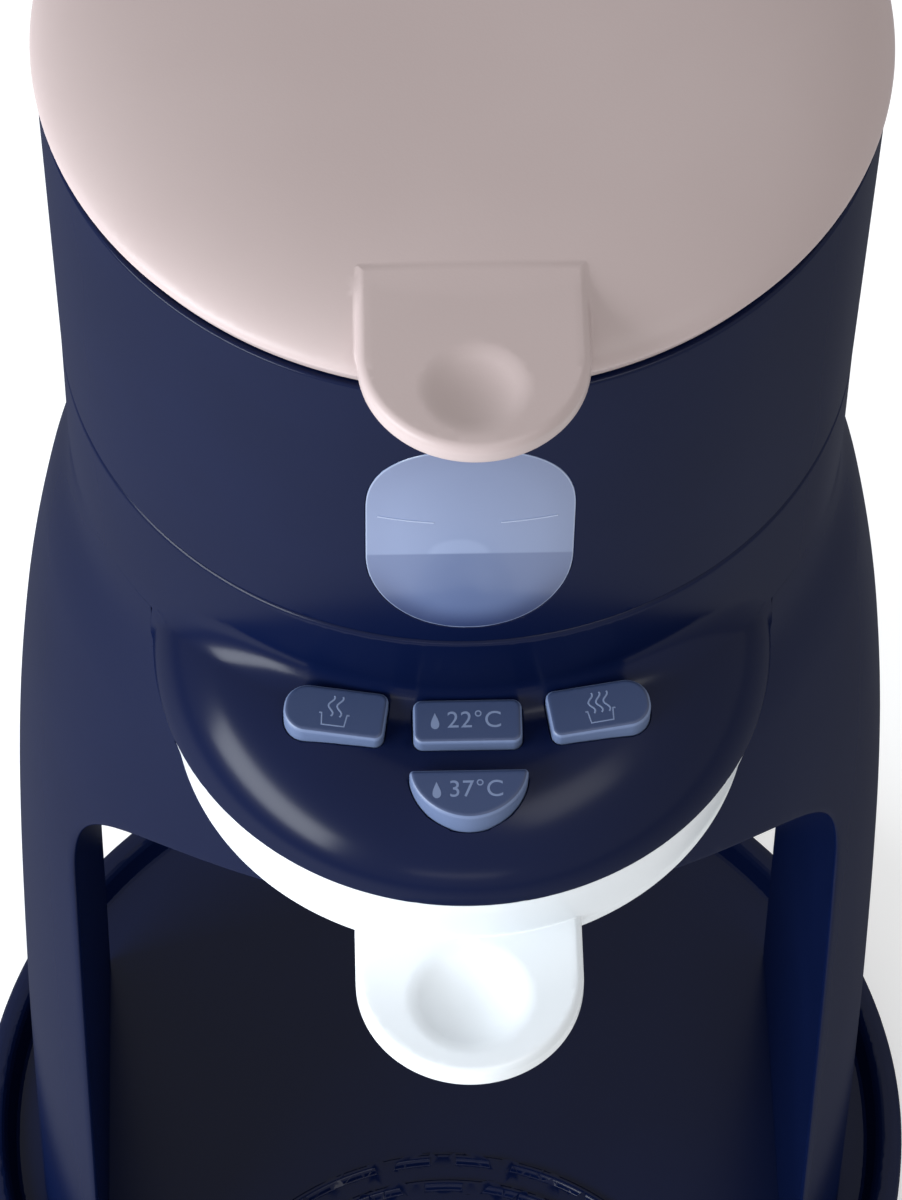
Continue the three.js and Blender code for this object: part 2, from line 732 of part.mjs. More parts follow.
// Across, shares of the side keys' distance from the middle. Along, shares of the gap between key rows
const keyRowGap = warmKeyReach - coolKeyReach;
const boardShares = [
  [-1.58, 0.25], [-1.58, -0.25], [-0.86, -1.28], [0.86, -1.28], [1.58, -0.25], [1.58, 0.25],
];
const postShares = [[-1.34, 0], [1.34, 0], [0, -1.07]];
const placeOnBoard = ([across, along]) =>
  new THREE.Vector2(across * sideKeyReach, frontOf(coolKeyReach) + along * keyRowGap);
const boardOutline = boardShares.map(placeOnBoard);
const postPlaces = postShares.map(placeOnBoard);

function headUnderplate() {
  const plate = loft([
    atLevel(headOutline(headWall + 2 * clearance), underplateLevel),
    atLevel(headOutline(headWall + 5 * clearance), underplateTop),
  ]);
  const spoutHole = disc(spoutRadius + clearance, underplateLevel - overrun, underplateTop + overrun,
    mediumFacets, 0, -spoutOffset);
  const slope = keyFrame.clone(false);
  slope.updateMatrix();
  const posts = postPlaces.map(({ x, y }) => {
    const head = new THREE.Vector3(x, y, -boardDrop - clearance).applyMatrix4(slope.matrix);
    return disc(underplatePostRadius, underplateLevel + clearance, head.z - clearance, smallFacets,
      head.x, head.y);
  });
  return cut(joined(plate, ...posts), spoutHole);
}

function controlBoard() {
  return prism(boardOutline, -boardDrop, boardThickness - boardDrop);
}

function keySwitch({ x, y }) {
  const bottom = boardThickness - boardDrop + clearance;
  const half = switchSize / 2;
  const body = block(x - half, x + half, y - half, y + half, bottom, bottom + switchHeight);
  const button = disc(switchButtonRadius, bottom + clearance,
    bottom + switchHeight + switchButtonHeight - clearance,
    smallFacets, x, y);
  return joined(body, button);
}

function waterSpout() {
  const bottom = underplateLevel;
  const flange = underplateTop + clearance;
  const body = joined(
    disc(spoutRadius, bottom, flange + clearance, mediumFacets, 0, -spoutOffset),
    disc(spoutRadius + headWall, flange, flange + headWall / 2, mediumFacets, 0, -spoutOffset),
    disc(nippleRadius, flange, flange + spoutHeight, smallFacets, 0, -spoutOffset),
  );
  const feed = disc(nippleRadius - headWall / 2, bottom + headWall / 2, flange + spoutHeight + overrun,
    smallFacets, 0, -spoutOffset);
  const chamber = disc(spoutRadius - headWall / 2, bottom + headWall / 2, flange, mediumFacets, 0,
    -spoutOffset);
  const holes = Array.from({ length: spoutHoles }, (_, step) => {
    const angle = (2 * Math.PI * step) / spoutHoles;
    return disc(spoutHoleRadius, bottom - overrun, flange - clearance, smallFacets / 2,
      spoutHoleRing * Math.cos(angle), spoutHoleRing * Math.sin(angle) - spoutOffset);
  });
  return cut(body, feed, chamber, ...holes);
}

// Mixing drawer
function drawerOutline(inset, back = headBackOffset + clearance) {
  return headOutline(inset, back);
}

function drawerBody() {
  const lean = (level) => clearance + drawerTaper * (1 - (level - drawerLowLevel) / drawerHeight);
  const outside = loft([drawerFloorLevel, drawerLowLevel, drawerTopLevel].map(
    (level) => atLevel(drawerOutline(Math.min(lean(level), drawerTaper + clearance)), level)));
  const hollow = loft([drawerLowLevel, drawerTopLevel + overrun].map((level) => {
    const inset = lean(Math.min(level, drawerTopLevel)) + drawerWall;
    return atLevel(drawerOutline(inset, headBackOffset + clearance + drawerWall), level);
  }));
  const tab = pillow((inset) => tongueOutline(drawerTabHalfWidth, drawerTabReach, headCentreOffset, inset),
    drawerFloorLevel, drawerFloorLevel + drawerTabThickness, tabEdgeRound);
  const funnelBottom = drawerFloorLevel - funnelDrop;
  const wall = drawerWall;
  const cone = revolve([[0, funnelBottom], [outletRadius + wall, funnelBottom],
    [outletRadius + wall, funnelBottom + wall],
    [funnelRadius + wall, drawerFloorLevel], [funnelRadius + wall, drawerLowLevel - clearance],
    [0, drawerLowLevel - clearance]], mediumFacets, 0, -headCentreOffset - clearance);
  const flow = revolve([[0, funnelBottom - overrun], [outletRadius, funnelBottom - overrun],
    [outletRadius, funnelBottom + wall],
    [funnelRadius, drawerLowLevel], [funnelRadius, drawerLowLevel + clearance],
    [0, drawerLowLevel + clearance]],
    mediumFacets, 0, -headCentreOffset - clearance);
  const thumb = dimple(drawerDimpleRadius, drawerDimpleDepth, -drawerDimpleReach,
    drawerFloorLevel + drawerTabThickness);
  const shell = joined(outside, cone);
  return cut(joined(cut(shell, hollow), cut(tab, thumb, hollow)), flow);
}

// Tank

function tankRadius(level) {
  const rise = (level - tankFootLevel) / tankHeight;
  return tankFootRadius + (tankTopRadius - tankFootRadius) * rise;
}

// Straight sides between two rounded ends
function windowOutline(inset) {
  const middle = tankFootLevel + windowSill + windowHeight / 2;
  const straightHalf = windowHeight / 2 - windowEndHeight;
  return superellipse(windowHalfWidth - inset, windowEndHeight - inset, windowPower, 28)
    .map(({ x, y }) => new THREE.Vector2(x, middle + y + Math.sign(y) * straightHalf));
}

function tankSleeve() {
  const profile = [
    [tankFootRadius - sleeveWall, tankFootLevel], [tankFootRadius, tankFootLevel],
    [tankTopRadius, tankTopLevel],
    [tankTopRadius - sleeveWall, tankTopLevel], [tankFootRadius - sleeveWall, tankFootLevel],
  ];
  const opening = prismFrontToBack(windowOutline(0), -tankTopRadius - overrun, 0);
  return cut(revolve(profile, largeFacets), opening);
}

function tankVessel() {
  const inward = sleeveWall + clearance;
  const outerFoot = tankFootRadius - inward;
  const outerTop = tankTopRadius - inward;
  const footOuter = tankFootRadius - collarWall - 2 * clearance;
  const footBottom = deckTop + clearance;
  const neckRadius = valveBore + valveNeckWall;
  const neckBottom = vesselFloorLevel - vesselWall - valveNeckDrop;
  const profile = [
    [valveBore, neckBottom], [neckRadius, neckBottom], [neckRadius, tankFootLevel],
    [footOuter - vesselFootRing, tankFootLevel], [footOuter - vesselFootRing, footBottom],
    [footOuter, footBottom],
    [footOuter, tankFootLevel], [outerFoot, tankFootLevel], [outerTop, tankTopLevel],
    [outerTop - vesselWall, tankTopLevel], [outerFoot - vesselWall, vesselFloorLevel],
    [valveBore, vesselFloorLevel], [valveBore, neckBottom],
  ];
  const pane = prismFrontToBack(windowOutline(clearance), -tankTopRadius - overrun, 0);
  const paneSkin = revolve([
    [outerFoot - vesselWall / 2, tankFootLevel], [tankRadius(tankFootLevel), tankFootLevel],
    [tankRadius(tankTopLevel), tankTopLevel], [outerTop - vesselWall / 2, tankTopLevel],
    [outerFoot - vesselWall / 2, tankFootLevel],
  ], largeFacets);
  return joined(revolve(profile, largeFacets), paneSkin.intersect(pane));
}

const portFloorTop = deckTop - valveNeckDrop;
const portPinTop = portFloorTop + valveNeckDrop / 2;

function tankDeck() {
  const boreRadius = tankFootRadius - collarWall;
  const portInner = valveBore + valveNeckWall + 2 * clearance;
  const portOuter = portInner + portWall;
  const plate = disc(boreRadius - clearance, deckLevel, deckTop, largeFacets);
  const cup = disc(portOuter, portFloorTop - portFloor, deckTop, mediumFacets);
  const well = disc(portInner, portFloorTop, deckTop + overrun, mediumFacets);
  const outlet = disc(portOutletRadius, portFloorTop - overrun, portFloorTop + clearance, smallFacets, 0,
    portInner / 2);
  const pin = disc(portPinRadius, portFloorTop - portFloor / 2, portPinTop, smallFacets);
  return joined(cut(joined(plate, cup), well, outlet), pin);
}

function dockSeal() {
  const inner = valveBore + valveNeckWall + 2 * clearance + portWall;
  return ring(inner + dockSealWidth, inner, deckTop + clearance, tankFootLevel - clearance, mediumFacets);
}

function tankValve() {
  const stemBottom = portPinTop + clearance;
  const headBottom = vesselFloorLevel + valveLift + clearance;
  const profile = [
    [0, stemBottom], [valveStemRadius, stemBottom], [valveStemRadius, headBottom],
    [valveHeadRadius, headBottom],
    [valveHeadRadius, headBottom + valveHeadHeight / 2], [valveStemRadius, headBottom + valveHeadHeight],
    [0, headBottom + valveHeadHeight],
  ];
  return revolve(profile, smallFacets);
}

// Lid
function lidShell() {
  const steps = 7;
  const dome = Array.from({ length: steps + 1 }, (_, step) => {
    const angle = (Math.PI / 2) * (step / steps);
    return [lidRadius * Math.sin(angle) ** (2 / lidCrownPower), lidWidestLevel + lidCrown * Math.cos(angle)];
  });
  const skirtOuter = tankTopRadius - sleeveWall - 2 * clearance - vesselWall - clearance;
  const skirtInner = skirtOuter - lidSkirtWall;
  const skirtBottom = lidSeatLevel - lidSkirtDepth;
  const ceiling = lidWidestLevel + lidCrown - lidWall;
  const underEdge = lidRadius - lidUndercut / 2;
  const bodyProfile = [...dome, [underEdge, lidSeatLevel], [skirtOuter, lidSeatLevel],
    [skirtOuter, skirtBottom],
    [skirtInner, skirtBottom], [skirtInner, lidWidestLevel],
    [skirtInner - lidCrown, ceiling - clearance], [0, ceiling]];
  const tabTop = lidWidestLevel + lidCrown - lidTabDrop;
  const tab = pillow((inset) => tongueOutline(lidTabHalfWidth, lidTabReach, lidTabStart, inset),
    tabTop - lidTabThickness, tabTop, tabEdgeRound);
  const thumb = dimple(lidDimpleRadius, lidDimpleDepth, -lidDimpleReach, tabTop);
  return cut(joined(revolve(bodyProfile, largeFacets), tab), thumb);
}

// Water works
const heaterLevel = worksFloorLevel + clearance + cradleFloor + heaterRadius + clearance;
const pumpLevel = worksFloorLevel + clearance + cradleFloor + pumpRadius + clearance;

function flowHeater() {
  const half = heaterLength / 2;
  const at = (x) => new THREE.Vector3(x, heaterOffset, heaterLevel);
  const core = bar(heaterRadius - heaterCapWidth / 2, at(-half), at(half), mediumFacets);
  const caps = [-1, 1].map((side) =>
    bar(heaterRadius, at(side * half), at(side * (half - heaterCapWidth)), mediumFacets));
  const bands = [-1, 1].map((side) => bar(heaterRadius, at(side * (cradleRibReach + cradleRibWidth)),
    at(side * (cradleRibReach - cradleRibWidth)), mediumFacets));
  const nipples = [-1, 1].map((side) =>
    bar(nippleRadius, at(side * (half - clearance)), at(side * (half + nippleLength)), smallFacets));
  return joined(core, ...caps, ...bands, ...nipples);
}

function waterPump() {
  const half = pumpLength / 2;
  const at = (x, rise = 0) => new THREE.Vector3(x, pumpOffset, pumpLevel + rise);
  const body = bar(pumpRadius, at(-half), at(half), mediumFacets);
  const inlet = bar(nippleRadius, at(0), at(0, pumpRadius + nippleLength), smallFacets);
  const outlet = bar(nippleRadius, at(0), at(half + nippleLength), smallFacets);
  return joined(body, inlet, outlet);
}

function worksCradle() {
  const bottom = worksFloorLevel + clearance;
  const front = heaterOffset - heaterRadius;
  const back = pumpOffset + pumpRadius;
  const reach = cradleRibReach + cradleRibWidth;
  const floor = block(-reach, reach, front, back, bottom, bottom + cradleFloor);
  const ribs = [-1, 1].map((side) => {
    const middle = side * cradleRibReach;
    const half = cradleRibWidth / 2;
    return block(middle - half, middle + half, front, back, bottom + clearance, heaterLevel * cradleSeatShare
      + bottom * (1 - cradleSeatShare));
  });
  const seat = (radius, y, level) => bar(radius + clearance, new THREE.Vector3(-heaterLength, y, level),
    new THREE.Vector3(heaterLength, y, level), mediumFacets);
  return cut(joined(floor, ...ribs), seat(heaterRadius, heaterOffset, heaterLevel),
    seat(pumpRadius, pumpOffset, pumpLevel));
}

// A silicone hose along a smooth curve through its points
function hose(places, steps) {
  const section = new THREE.Shape(arc(0, 0, hoseRadius, 0, 2 * Math.PI, 6).slice(0, -1));
  const points = places.map(([x, y, z]) => new THREE.Vector3(x, y, z));
  // A point halfway along the first and the last stretch keeps both ends square to their nipples
  points.splice(1, 0, points[0].clone().lerp(points[1], 0.5));
  points.splice(-1, 0, points.at(-1).clone().lerp(points.at(-2), 0.5));
  const path = new THREE.CatmullRomCurve3(points);
  return toSolid(new THREE.ExtrudeGeometry(section, { steps, extrudePath: path, bevelEnabled: false }));
}

const portOutletY = (valveBore + valveNeckWall + 2 * clearance) / 2;
const heaterEnd = heaterLength / 2 + nippleLength + clearance;
const pumpEnd = pumpLength / 2 + nippleLength + clearance;
const bendReach = heaterEnd + 2 * hoseRadius;
const hoseRiseLevel = collarBottomLevel + 2 * hoseRadius;
const spoutTop = underplateTop + clearance + spoutHeight + clearance;

function supplyHose() {
  const top = portFloorTop - portFloor - clearance;
  const bottom = pumpLevel + pumpRadius + nippleLength + clearance;
  const middle = (top + bottom) / 2;
  const lead = 2 * hoseRadius;
  return hose([[0, portOutletY, top], [0, portOutletY, top - lead],
    [0, (portOutletY + pumpOffset) / 2, middle], [0, pumpOffset, bottom + lead],
    [0, pumpOffset, bottom]], 8);
}

function pressureHose() {
  return hose([[pumpEnd, pumpOffset, pumpLevel], [bendReach, pumpOffset, pumpLevel],
    [bendReach + 2 * hoseRadius, (pumpOffset + heaterOffset) / 2, (pumpLevel + heaterLevel) / 2],
    [bendReach, heaterOffset, heaterLevel], [heaterEnd, heaterOffset, heaterLevel]], 10);
}

function outletHose() {
  const lead = 2 * hoseRadius;
  const riseLevel = (heaterLevel + hoseRiseLevel) / 2;
  return hose([[-heaterEnd, heaterOffset, heaterLevel], [-bendReach, heaterOffset, heaterLevel],
    [-bendReach - lead, heaterOffset - hoseRadius, riseLevel], [-heaterEnd, -lead, hoseRiseLevel],
    [-heaterEnd / 2, -spoutOffset / 2, hoseRiseLevel + lead],
    [-lead, lead - spoutOffset, hoseRiseLevel + lead],
    [0, -spoutOffset, spoutTop + lead], [0, -spoutOffset, spoutTop]], 18);
}

// Assembly
add('base_tray', baseTray(), navyPlastic);
add('base_plate', basePlate(), navyPlastic);
footPlaces.forEach((place, at) => add(`foot_${at + 1}`, rubberFoot(place), darkRubber));
screwPlaces.forEach((place, at) => add(`base_screw_${at + 1}`, plateScrew(place), plainSteel));
add('warming_plate', warmingPlate(), coatedSteel);
add('heating_element', heatingElement(), castAluminium);
add('plate_thermostat',
  disc(thermostatRadius, plateLevel - clearance - elementHeight, plateLevel - clearance,
  smallFacets, 0, -bottleOffset), plainSteel);
add('cord_gland', cordGland(), darkRubber);
add('arch_housing', archHousing(), navyPlastic);
add('head_housing', headHousing(), navyPlastic);
add('head_underplate', headUnderplate(), navyPlastic);
add('water_spout', waterSpout(), whitePlastic);
add('control_board', controlBoard(), boardLaminate, keyFrame);
for (const key of keys) {
  add(key.name, keySolid(key), keyPlastic, keyFrame);
  add(key.name.replace('_key', '_switch'), keySwitch(key), switchPlastic, keyFrame);
}
add('tank_deck', tankDeck(), navyPlastic);
add('dock_seal', dockSeal(), darkRubber);
add('works_cradle', worksCradle(), whitePlastic);
add('flow_heater', flowHeater(), castAluminium);
add('water_pump', waterPump(), switchPlastic);
add('supply_hose', supplyHose(), clearSilicone);
add('pressure_hose', pressureHose(), clearSilicone);
add('outlet_hose', outletHose(), clearSilicone);
add('mixing_drawer', drawerBody(), whitePlastic);
add('tank_sleeve', tankSleeve(), navyPlastic);
add('tank_vessel', tankVessel(), tintedPlastic);
add('tank_valve', tankValve(), whitePlastic);
add('lid', lidShell(), pinkPlastic);
machine.add(keyFrame);

// The part's origin is under the middle of its box, on the surface that it stands on
machine.updateMatrixWorld(true);
const bounds = new THREE.Box3().setFromObject(machine, true);
const middle = bounds.getCenter(new THREE.Vector3());
machine.position.set(-middle.x, -middle.y, -bounds.min.z);

export default machine;
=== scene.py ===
import json
import math

import bmesh
import bpy
import numpy as np
from mathutils import Matrix, Vector


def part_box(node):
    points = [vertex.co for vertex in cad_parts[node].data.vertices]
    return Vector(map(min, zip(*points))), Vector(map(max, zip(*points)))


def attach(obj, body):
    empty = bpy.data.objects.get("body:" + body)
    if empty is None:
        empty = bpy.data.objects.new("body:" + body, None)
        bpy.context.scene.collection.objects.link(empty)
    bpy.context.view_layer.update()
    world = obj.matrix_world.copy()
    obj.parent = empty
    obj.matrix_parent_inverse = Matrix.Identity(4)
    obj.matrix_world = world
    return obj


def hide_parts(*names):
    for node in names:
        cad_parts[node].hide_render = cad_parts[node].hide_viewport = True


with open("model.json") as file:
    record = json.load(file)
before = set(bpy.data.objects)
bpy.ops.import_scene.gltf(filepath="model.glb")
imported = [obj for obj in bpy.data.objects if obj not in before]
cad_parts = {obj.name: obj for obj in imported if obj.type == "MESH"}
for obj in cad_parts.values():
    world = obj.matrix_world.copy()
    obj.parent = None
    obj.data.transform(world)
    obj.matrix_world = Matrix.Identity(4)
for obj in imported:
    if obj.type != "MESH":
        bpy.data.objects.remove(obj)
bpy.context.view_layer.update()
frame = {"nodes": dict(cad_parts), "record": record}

# Sizes of the forms are in millimetres, with the tank's axis at x = 0, y = 0, as the solids were drawn
MM = 0.001
sleeve_low, sleeve_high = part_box("tank_sleeve")
AXIS = np.array([0.0, (sleeve_low.y + sleeve_high.y) / 2 / MM, 0.0])
CLEARANCE = 0.3

# Tray
TRAY_BACK_RADIUS = 81.0
TRAY_BACK_OFFSET = 3.0
TRAY_FRONT_RADIUS = 57.0
TRAY_BOTTOM = 2.2
TRAY_HEIGHT = 14.8
TRAY_RIM_LEVEL = TRAY_BOTTOM + TRAY_HEIGHT
TRAY_FLOOR_DROP = 4.0
TRAY_FLOOR_LEVEL = TRAY_RIM_LEVEL - TRAY_FLOOR_DROP
TRAY_FLOOR_WALL = 2.2
TRAY_RIM_WIDTH = 6.5
TRAY_TUCK = 5.0
TRAY_WALL = 2.6
BOTTLE_OFFSET = 49.0
RING_RADII = (45.0, 40.0)
RING_WIDTH = 1.8
RING_HEIGHT = 1.1
POCKET_RADIUS = 34.3
POCKET_LEVEL = 11.3
POCKET_HOLE = 31.0

# Arched housing
BELL_FOOT_RADIUS = 70.0
BELL_TOP_RADIUS = 55.6
BELL_FOOT_LEVEL = TRAY_FLOOR_LEVEL + CLEARANCE
BELL_TOP_LEVEL = 240.0
BELL_SWELL_SHARES = ((0, 1), (0.29, 0.96), (0.58, 0.83), (0.76, 0.62), (0.885, 0.33), (0.955, 0.05), (1, 0))
TUNNEL_HALF_WIDTH = 57.6
TUNNEL_CEILING = 200.5
TUNNEL_RISE = 45.0
TUNNEL_POWER = 3.0
TUNNEL_DRAFT = 0.8
ARCH_EDGE_ROUND = 1.5
BAY_GAP = 0.06
BAY_EDGE = 0.1
WORKS_WALL = 3.0
WORKS_FLOOR = 203.7

# Collar and control head
COLLAR_BOTTOM = 240.3
COLLAR_TOP = 262.6
COLLAR_RADIUS = 55.9
COLLAR_WALL = 3.2
COLLAR_LEDGE = 2.6
COLLAR_EDGE = 0.9
DECK_RECESS = 5.7
HEAD_RADIUS = 43.7
HEAD_CENTRE = 36.8
HEAD_BACK = 12.0
HEAD_LOW = 234.0
HEAD_TOP = 246.6
HEAD_TILT = math.radians(7)
HEAD_ROLL = 16.0
HEAD_WALL = 2.6
HEAD_FILLET = 4.0
HEAD_FILLET_LEAST = 0.1
HEAD_FILLET_FADE = 13.0
HEAD_CORNER = 1.2
HEAD_POWER = 1.95
HEAD_PLATEAU = HEAD_CENTRE + HEAD_RADIUS - HEAD_ROLL
SMALL_ROUND = 0.5

# Keys, in the frame on the head's sloping top
KEY_ROW = 59.8
KEY_PROUD = 2.4
KEY_DEPTH = 3.6
KEY_ROOM = 1.6
KEY_ROUND = 0.65
KEY_CORNER = 1.3
KEY_END_ROUND = 0.46
KEY_GAP = 0.12
WARM_KEY_SHORT = 1.3
WARM_KEY_POWER = 1.9

# Mixing drawer
DRAWER_INSET = 0.05
DRAWER_LOW_RADIUS = 41.2
DRAWER_TOP = 233.88
DRAWER_LOW = 220.0
DRAWER_FLOOR = 217.6
DRAWER_HEIGHT = 14.0
DRAWER_WALL = 2.2
FUNNEL_RADIUS = 23.0
FUNNEL_DROP = 12.0
OUTLET_RADIUS = 5.5
TAB_HALF_WIDTH = 15.9
TAB_REACH = 100.0
TAB_THICKNESS = 4.0
TAB_ROUND = 1.2
DIMPLE_RADIUS = 8.1
DIMPLE_DEPTH = 2.0
DIMPLE_REACH = 87.8

# Tank, vessel and window
TANK_FOOT_RADIUS = 55.9
TANK_TOP_RADIUS = 56.7
TANK_FOOT = 262.9
TANK_TOP = 321.9
SLEEVE_WALL = 1.8
VESSEL_WALL = 1.8
VESSEL_FOOT_RING = 2.2
DECK_TOP = 259.6
WINDOW_HALF_WIDTH = 13.9
WINDOW_HEIGHT = 43.2
WINDOW_SILL = 3.8
WINDOW_END = 16.0
WINDOW_POWER = 2.2
PANE_GAP = 0.04
PANE_EDGE = 0.1
PANE_WATER = 285.3
PANE_WATER_DIP = 0.0139
VALVE_BORE = 5.0
VALVE_NECK_WALL = 2.4
VALVE_NECK_DROP = 9.0

# Lid
LID_RADIUS = 57.2
LID_CROWN = 6.0
LID_POWER = 4.5
LID_UNDERCUT = 2.9
LID_SEAT = 322.2
LID_WIDEST = LID_SEAT + LID_UNDERCUT
LID_WALL = 2.4
LID_SKIRT_DEPTH = 5.0
LID_SKIRT_WALL = 1.8
LID_TAB_HALF_WIDTH = 14.9
LID_TAB_REACH = 70.2
LID_TAB_START = 41.2
LID_TAB_THICKNESS = 3.8
LID_TAB_DROP = 0.9
LID_DIMPLE_RADIUS = 6.2
LID_DIMPLE_DEPTH = 1.5
LID_DIMPLE_REACH = 60.7

# Printing
PRINT_RISE = 0.01
FIGURE_SIZE = 3.5
FIGURES_LEFT = -2.9
DROP_PLACE = -4.5
DROP_SIZE = 1.65
WAVE_LOW, WAVE_HEIGHT = -0.9, 3.1
DISH_WIDTH, DISH_DEPTH, DISH_LOW = 3.5, 1.75, -2.25
SIGN_LINE = 0.26
SIGN_FLATNESS = 0.1
LEVEL_LINE = 292.6
LEVEL_LINE_RISE = 0.02
LEVEL_LINE_WIDTH = 0.22
LEVEL_STRETCHES = ((-12.3, -4.9), (4.0, 11.5))

# Shaping
LEAST_STEEPNESS = 0.25
MIDDLE_WEIGHT = 0.01

# Looks, light and camera
KEY_FACE_EDGE = (0.17, 0.09)
PANE_EDGE_FADE = 10.0
PANE_SHADE_RISE = 24.0
WATER_EDGE = 0.25
GLINT_OFF = 1.5
GLINT_HALF_WIDTH = 4.4
GLINT_HALF_HEIGHT = 3.8
GLINT_STRENGTH = 0.28
WORLD_LEVEL = 0.58
WHITE_LEVEL = 1.0
FLOOR_LIFT = 0.25
CAMERA_PLACE = (-20.1, -494.2, 949.7)
CAMERA_PAN, CAMERA_TILT, CAMERA_ROLL = 0.0403, 0.9953, 0.018
LENS, SENSOR = 180.0, 36.0


# Fields: each gives a signed distance in millimetres for an array of points, negative inside the form

def outside_of(field, *tools, edge=SMALL_ROUND):
    """The part of a form that lies outside the tools, its new edges rounded."""
    for tool in tools:
        field = meet(field, -tool, edge)
    return field


def meet(a, b, edge=SMALL_ROUND):
    """Where both forms are, with the edge between them rounded to that radius."""
    return np.minimum(-edge, np.maximum(a, b)) + np.hypot(np.maximum(edge + a, 0), np.maximum(edge + b, 0))


def join(a, b, fillet=SMALL_ROUND):
    """Where either form is, with a hollow fillet of that radius between them."""
    round_off = np.hypot(np.maximum(fillet - a, 0), np.maximum(fillet - b, 0))
    return np.maximum(fillet, np.minimum(a, b)) - round_off


def polygon(u, v, corners):
    """Signed distance in a plane to a closed outline."""
    corners = np.asarray(corners, float)
    nearest = np.full(u.shape, np.inf)
    inside = np.zeros(u.shape, bool)
    for (u0, v0), (u1, v1) in zip(corners, np.roll(corners, -1, axis=0)):
        du, dv = u1 - u0, v1 - v0
        length = du * du + dv * dv
        if length == 0:
            continue
        along = np.clip(((u - u0) * du + (v - v0) * dv) / length, 0, 1)
        nearest = np.minimum(nearest, np.hypot(u - u0 - along * du, v - v0 - along * dv))
        crosses = (v0 > v) != (v1 > v)
        if dv:
            inside ^= crosses & (u < u0 + (v - v0) * du / dv)
    return np.where(inside, -nearest, nearest)


def superellipse(u, v, half_u, half_v, power):
    """Nearly the signed distance to |u/a|^p + |v/b|^p = 1."""
    a, b = np.abs(u) / half_u, np.abs(v) / half_v
    size = np.maximum((a ** power + b ** power) ** (1 / power), 1e-9)
    slope_u = (a / size) ** (power - 1) / half_u
    slope_v = (b / size) ** (power - 1) / half_v
    return (size - 1) / np.maximum(np.hypot(slope_u, slope_v), 1e-9)


def tongue(x, y, half_width, reach):
    centre = reach - half_width
    return np.where(y < -centre, np.hypot(x, y + centre), np.abs(x)) - half_width


def sphere_dimple(x, y, z, radius, depth, reach, level):
    sphere = (radius ** 2 + depth ** 2) / (2 * depth)
    return np.sqrt(x ** 2 + (y + reach) ** 2 + (z - level + depth - sphere) ** 2) - sphere


def slab(z, bottom, top):
    return np.maximum(bottom - z, z - top)


def bell_curve(steps=16):
    """The bell's levels and radii, on a smooth curve through its shares."""
    shares = np.array(BELL_SWELL_SHARES, float)
    last = len(shares) - 1
    points = []
    for at in range(last):
        p0, p1, p2, p3 = (shares[min(max(near, 0), last)] for near in range(at - 1, at + 3))
        for t in np.arange(steps) / steps:
            points.append(0.5 * (2 * p1 + (p2 - p0) * t + (2 * p0 - 5 * p1 + 4 * p2 - p3) * t ** 2
                                 + (3 * p1 - p0 - 3 * p2 + p3) * t ** 3))
    points.append(shares[-1])
    points = np.array(points)
    levels = BELL_FOOT_LEVEL + (BELL_TOP_LEVEL - BELL_FOOT_LEVEL) * points[:, 0]
    radii = BELL_TOP_RADIUS + (BELL_FOOT_RADIUS - BELL_TOP_RADIUS) * points[:, 1]
    return levels, radii


BELL_LEVELS, BELL_RADII = bell_curve()


def bell_radius(z):
    return np.interp(z, BELL_LEVELS, BELL_RADII)


def tunnel(x, z):
    spring = TUNNEL_CEILING - TUNNEL_RISE
    rise = np.clip((spring - z) / (spring - BELL_FOOT_LEVEL), 0, 1)
    walls = np.abs(x) - TUNNEL_HALF_WIDTH - TUNNEL_DRAFT * rise
    vault = superellipse(x, z - spring, TUNNEL_HALF_WIDTH, TUNNEL_RISE, TUNNEL_POWER)
    return np.where(z < spring, walls, vault)


def head_plan(x, y):
    """Signed distance in plan to the head's low edge."""
    return np.where(y < -HEAD_CENTRE, np.hypot(x, y + HEAD_CENTRE), np.abs(x)) - HEAD_RADIUS


def arch_housing(x, y, z):
    rho = np.hypot(x, y)
    radius = bell_radius(z)
    body = meet(rho - radius, slab(z, BELL_FOOT_LEVEL, BELL_TOP_LEVEL))
    lean = np.where(z < HEAD_LOW, drawer_lean(z) - BAY_EDGE, -BAY_GAP)
    bay = np.maximum.reduce([head_plan(x, y) + lean, y + HEAD_BACK - CLEARANCE,
                             DRAWER_FLOOR - CLEARANCE - z])
    trough_half = FUNNEL_RADIUS + DRAWER_WALL + 2 * CLEARANCE
    trough_centre = HEAD_CENTRE + CLEARANCE
    trough = np.where(y > -trough_centre, np.hypot(x, y + trough_centre), np.abs(x)) - trough_half
    works = np.maximum.reduce([rho - radius + WORKS_WALL, WORKS_FLOOR - z, WORKS_WALL - HEAD_BACK - y])
    body = outside_of(body, tunnel(x, z), edge=ARCH_EDGE_ROUND)
    return outside_of(outside_of(body, bay, edge=BAY_EDGE), trough, works)


def plateau(y, drop=0.0):
    return HEAD_TOP + math.tan(HEAD_TILT) * (y + HEAD_PLATEAU) - drop


def head_form(x, y, z, inset=0.0, drop=0.0):
    """The pillow that rolls from an upright low edge onto the sloping top."""
    height = plateau(y, drop) - HEAD_LOW
    across = np.maximum((head_plan(x, y) + inset) / HEAD_ROLL + 1, 0)
    up = np.maximum((z - HEAD_LOW) / height, 0)
    power = HEAD_POWER
    size = np.maximum((across ** power + up ** power) ** (1 / power), 1e-9)
    slope = np.hypot((across / size) ** (power - 1) / HEAD_ROLL, (up / size) ** (power - 1) / height)
    return (size - 1) / np.maximum(slope, 1e-9)


def key_point(x, y, z):
    """The same points in the keys' frame on the head's top."""
    dy, dz = y + HEAD_PLATEAU, z - HEAD_TOP
    along = dy * math.cos(HEAD_TILT) + dz * math.sin(HEAD_TILT)
    above = dz * math.cos(HEAD_TILT) - dy * math.sin(HEAD_TILT)
    return x, along, above


